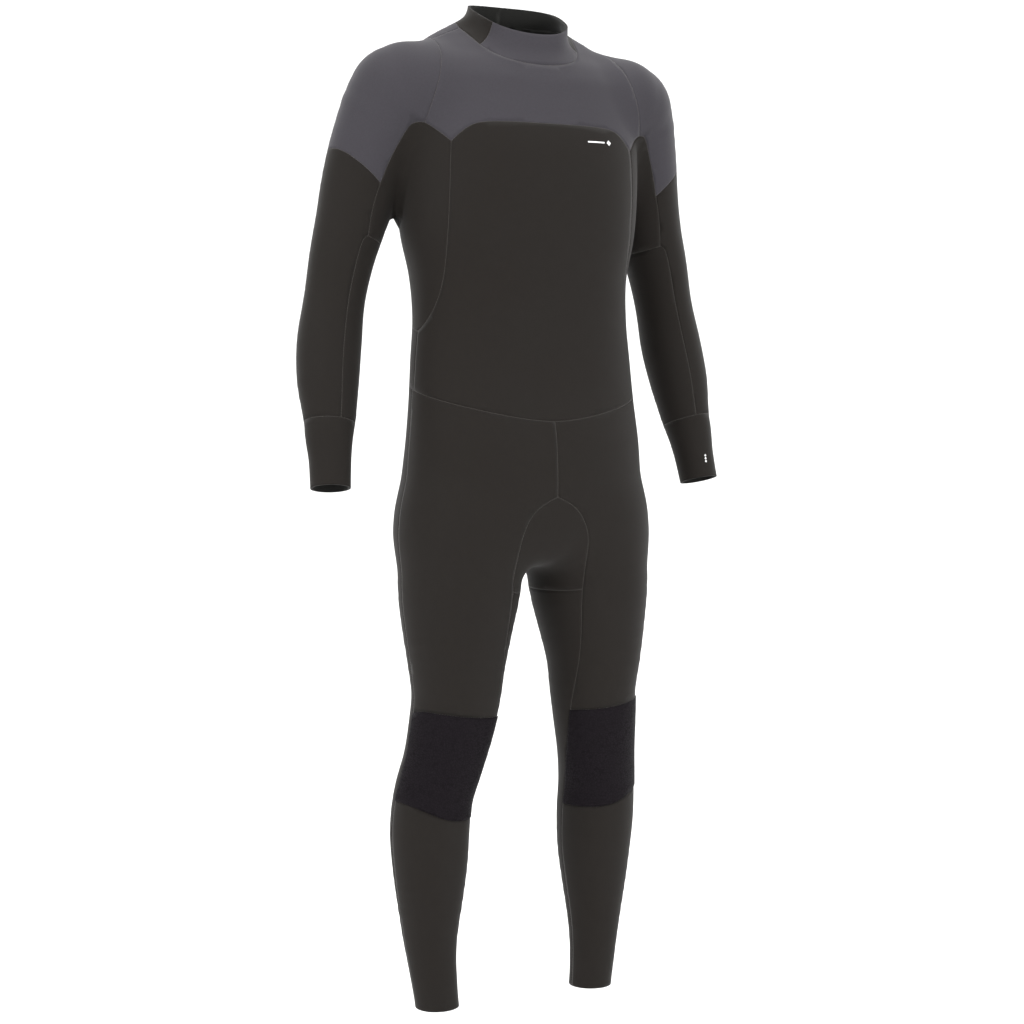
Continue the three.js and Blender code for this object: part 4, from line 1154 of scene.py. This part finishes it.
# Where each light stands from where it aims: towards the camera, to the camera's right and up.
# Then its size and its power in watts.
LIGHTS = {
    "key": (2.6, -2.2, 1.5, (2.2, 2.2), 95),
    "fill": (2.2, 2.8, 0.6, (2.4, 2.4), 70),
    "top": (0, 0, 2.6, (2.6, 2.0), 50),
    "rim": (-2.2, -2.0, 1.4, (1.6, 2.2), 40),
    "rim_left": (-2.2, 2.2, 1.4, (1.6, 2.2), 40),
}
WORLD_STRENGTH = 0.85


def stage_material():
    material, tree, shader = principled("Studio paper")
    place = add_node(tree, "ShaderNodeTexCoord").outputs["Object"]
    grain = add_node(tree, "ShaderNodeTexNoise", Vector=place, Scale=60.0, Detail=4.0)
    shade = math_node(tree, "ADD", math_node(tree, "MULTIPLY", grain.outputs["Fac"], 0.01), 0.9)
    tint = add_node(tree, "ShaderNodeCombineColor", Red=shade, Green=shade, Blue=shade)
    tree.links.new(tint.outputs["Color"], shader.inputs["Base Color"])
    shader.inputs["Roughness"].default_value = 0.9
    return material


def add_sweep(ground, toward, aside):
    """The floor and the backdrop, as one curved sheet."""
    depth, radius, steps = SWEEP["depth"], SWEEP["radius"], SWEEP["steps"]
    path = [(-SWEEP["front"], 0.0), (depth - radius, 0.0)]
    for i in range(1, steps + 1):
        turn = math.pi / 2 * i / steps
        path.append((depth - radius + radius * math.sin(turn), radius - radius * math.cos(turn)))
    path.append((depth, SWEEP["height"]))
    bm = bmesh.new()
    rows = []
    for out, up in path:
        line = -toward * out + Vector((0, 0, ground + up))
        ends = (-SWEEP["half_width"], SWEEP["half_width"])
        rows.append([bm.verts.new(line + aside * end) for end in ends])
    for one, two in zip(rows, rows[1:]):
        bm.faces.new((one[0], one[1], two[1], two[0]))
    bmesh.ops.recalc_face_normals(bm, faces=bm.faces[:])
    if bm.faces[:][0].normal.z < 0:
        bmesh.ops.reverse_faces(bm, faces=bm.faces[:])
    mesh = bpy.data.meshes.new("studio_sweep")
    bm.to_mesh(mesh)
    bm.free()
    mesh.polygons.foreach_set("use_smooth", [True] * len(mesh.polygons))
    mesh.materials.append(stage_material())
    sweep = bpy.data.objects.new("studio_sweep", mesh)
    bpy.context.scene.collection.objects.link(sweep)


def add_light(name, place, aim, size, energy):
    light = bpy.data.lights.new(name, "AREA")
    light.shape = "RECTANGLE"
    light.size, light.size_y = size
    light.energy = energy
    obj = bpy.data.objects.new(name, light)
    obj.location = place
    obj.rotation_euler = (aim - place).to_track_quat("-Z", "Y").to_euler()
    bpy.context.scene.collection.objects.link(obj)


def add_camera(stage, toward):
    """The camera, which looks slightly down at the suit."""
    camera = bpy.data.cameras.new("camera")
    camera.sensor_width = 36
    camera.lens = stage.lens
    camera.shift_x, camera.shift_y = stage.shift
    camera.clip_end = 50
    obj = bpy.data.objects.new("camera", camera)
    obj.location = toward * stage.distance + Vector((0, 0, stage.eye - NECK_HEIGHT * MM))
    look = -toward * math.cos(stage.pitch) - Vector((0, 0, math.sin(stage.pitch)))
    obj.rotation_euler = look.to_track_quat("-Z", "Y").to_euler()
    bpy.context.scene.collection.objects.link(obj)
    bpy.context.scene.camera = obj


class WETSUIT_OT_stage(bpy.types.Operator):
    """Set up the floor, the backdrop, the soft studio light and the camera"""

    bl_idname = "wetsuit.stage"
    bl_label = "Stage"

    def execute(self, context):
        stage = settings().wetsuit_stage
        ground = CAD_BOX[0].z - stage.floor
        toward = Vector((-math.sin(stage.turn), -math.cos(stage.turn), 0))
        aside = Vector((math.cos(stage.turn), -math.sin(stage.turn), 0))
        add_sweep(ground, toward, aside)
        aim = Vector((0, 0, ground + AIM_HEIGHT))
        for name, (out, across, up, size, energy) in LIGHTS.items():
            place = aim + toward * out + aside * across + Vector((0, 0, up))
            add_light(name, place, aim, size, energy)
        world = bpy.data.worlds.new("Studio")
        context.scene.world = world
        world.use_nodes = True
        background = world.node_tree.nodes["Background"]
        background.inputs["Color"].default_value = (1, 1, 1, 1)
        background.inputs["Strength"].default_value = WORLD_STRENGTH
        add_camera(stage, toward)
        context.scene.view_settings.view_transform = "Standard"
        return {"FINISHED"}


# ---- Panel and registration --------------------------------------------------------------------

OPERATORS = (
    WETSUIT_OT_stage,
    WETSUIT_OT_trunk,
    WETSUIT_OT_collar,
    WETSUIT_OT_sleeves,
    WETSUIT_OT_legs,
    WETSUIT_OT_zip,
    WETSUIT_OT_closure,
    WETSUIT_OT_marks,
)
GROUPS = {
    "wetsuit_cloth": WetsuitCloth,
    "wetsuit_stitch": WetsuitStitch,
    "wetsuit_colours": WetsuitColours,
    "wetsuit_zip": WetsuitZip,
    "wetsuit_stage": WetsuitStage,
}


class WETSUIT_PT_panel(bpy.types.Panel):
    """Settings and steps of the wetsuit"""

    bl_idname = "WETSUIT_PT_panel"
    bl_label = "Wetsuit"
    bl_space_type = "VIEW_3D"
    bl_region_type = "UI"
    bl_category = "Wetsuit"

    def draw(self, context):
        for name, group in GROUPS.items():
            box = self.layout.box()
            for prop in group.__annotations__:
                box.prop(getattr(context.scene, name), prop)
        for operator in OPERATORS:
            self.layout.operator(operator.bl_idname)


def register():
    for name, group in GROUPS.items():
        bpy.utils.register_class(group)
        setattr(bpy.types.Scene, name, PointerProperty(type=group))
    for item in (*OPERATORS, WETSUIT_PT_panel):
        bpy.utils.register_class(item)


def unregister():
    for item in reversed((*OPERATORS, WETSUIT_PT_panel)):
        bpy.utils.unregister_class(item)
    for name, group in reversed(GROUPS.items()):
        delattr(bpy.types.Scene, name)
        bpy.utils.unregister_class(group)


def main():
    register()
    bpy.ops.wetsuit.stage()
    bpy.ops.wetsuit.trunk()
    bpy.ops.wetsuit.collar()
    bpy.ops.wetsuit.sleeves()
    bpy.ops.wetsuit.legs()
    bpy.ops.wetsuit.zip()
    bpy.ops.wetsuit.closure()
    bpy.ops.wetsuit.marks()


if __name__ == "__main__":
    main()
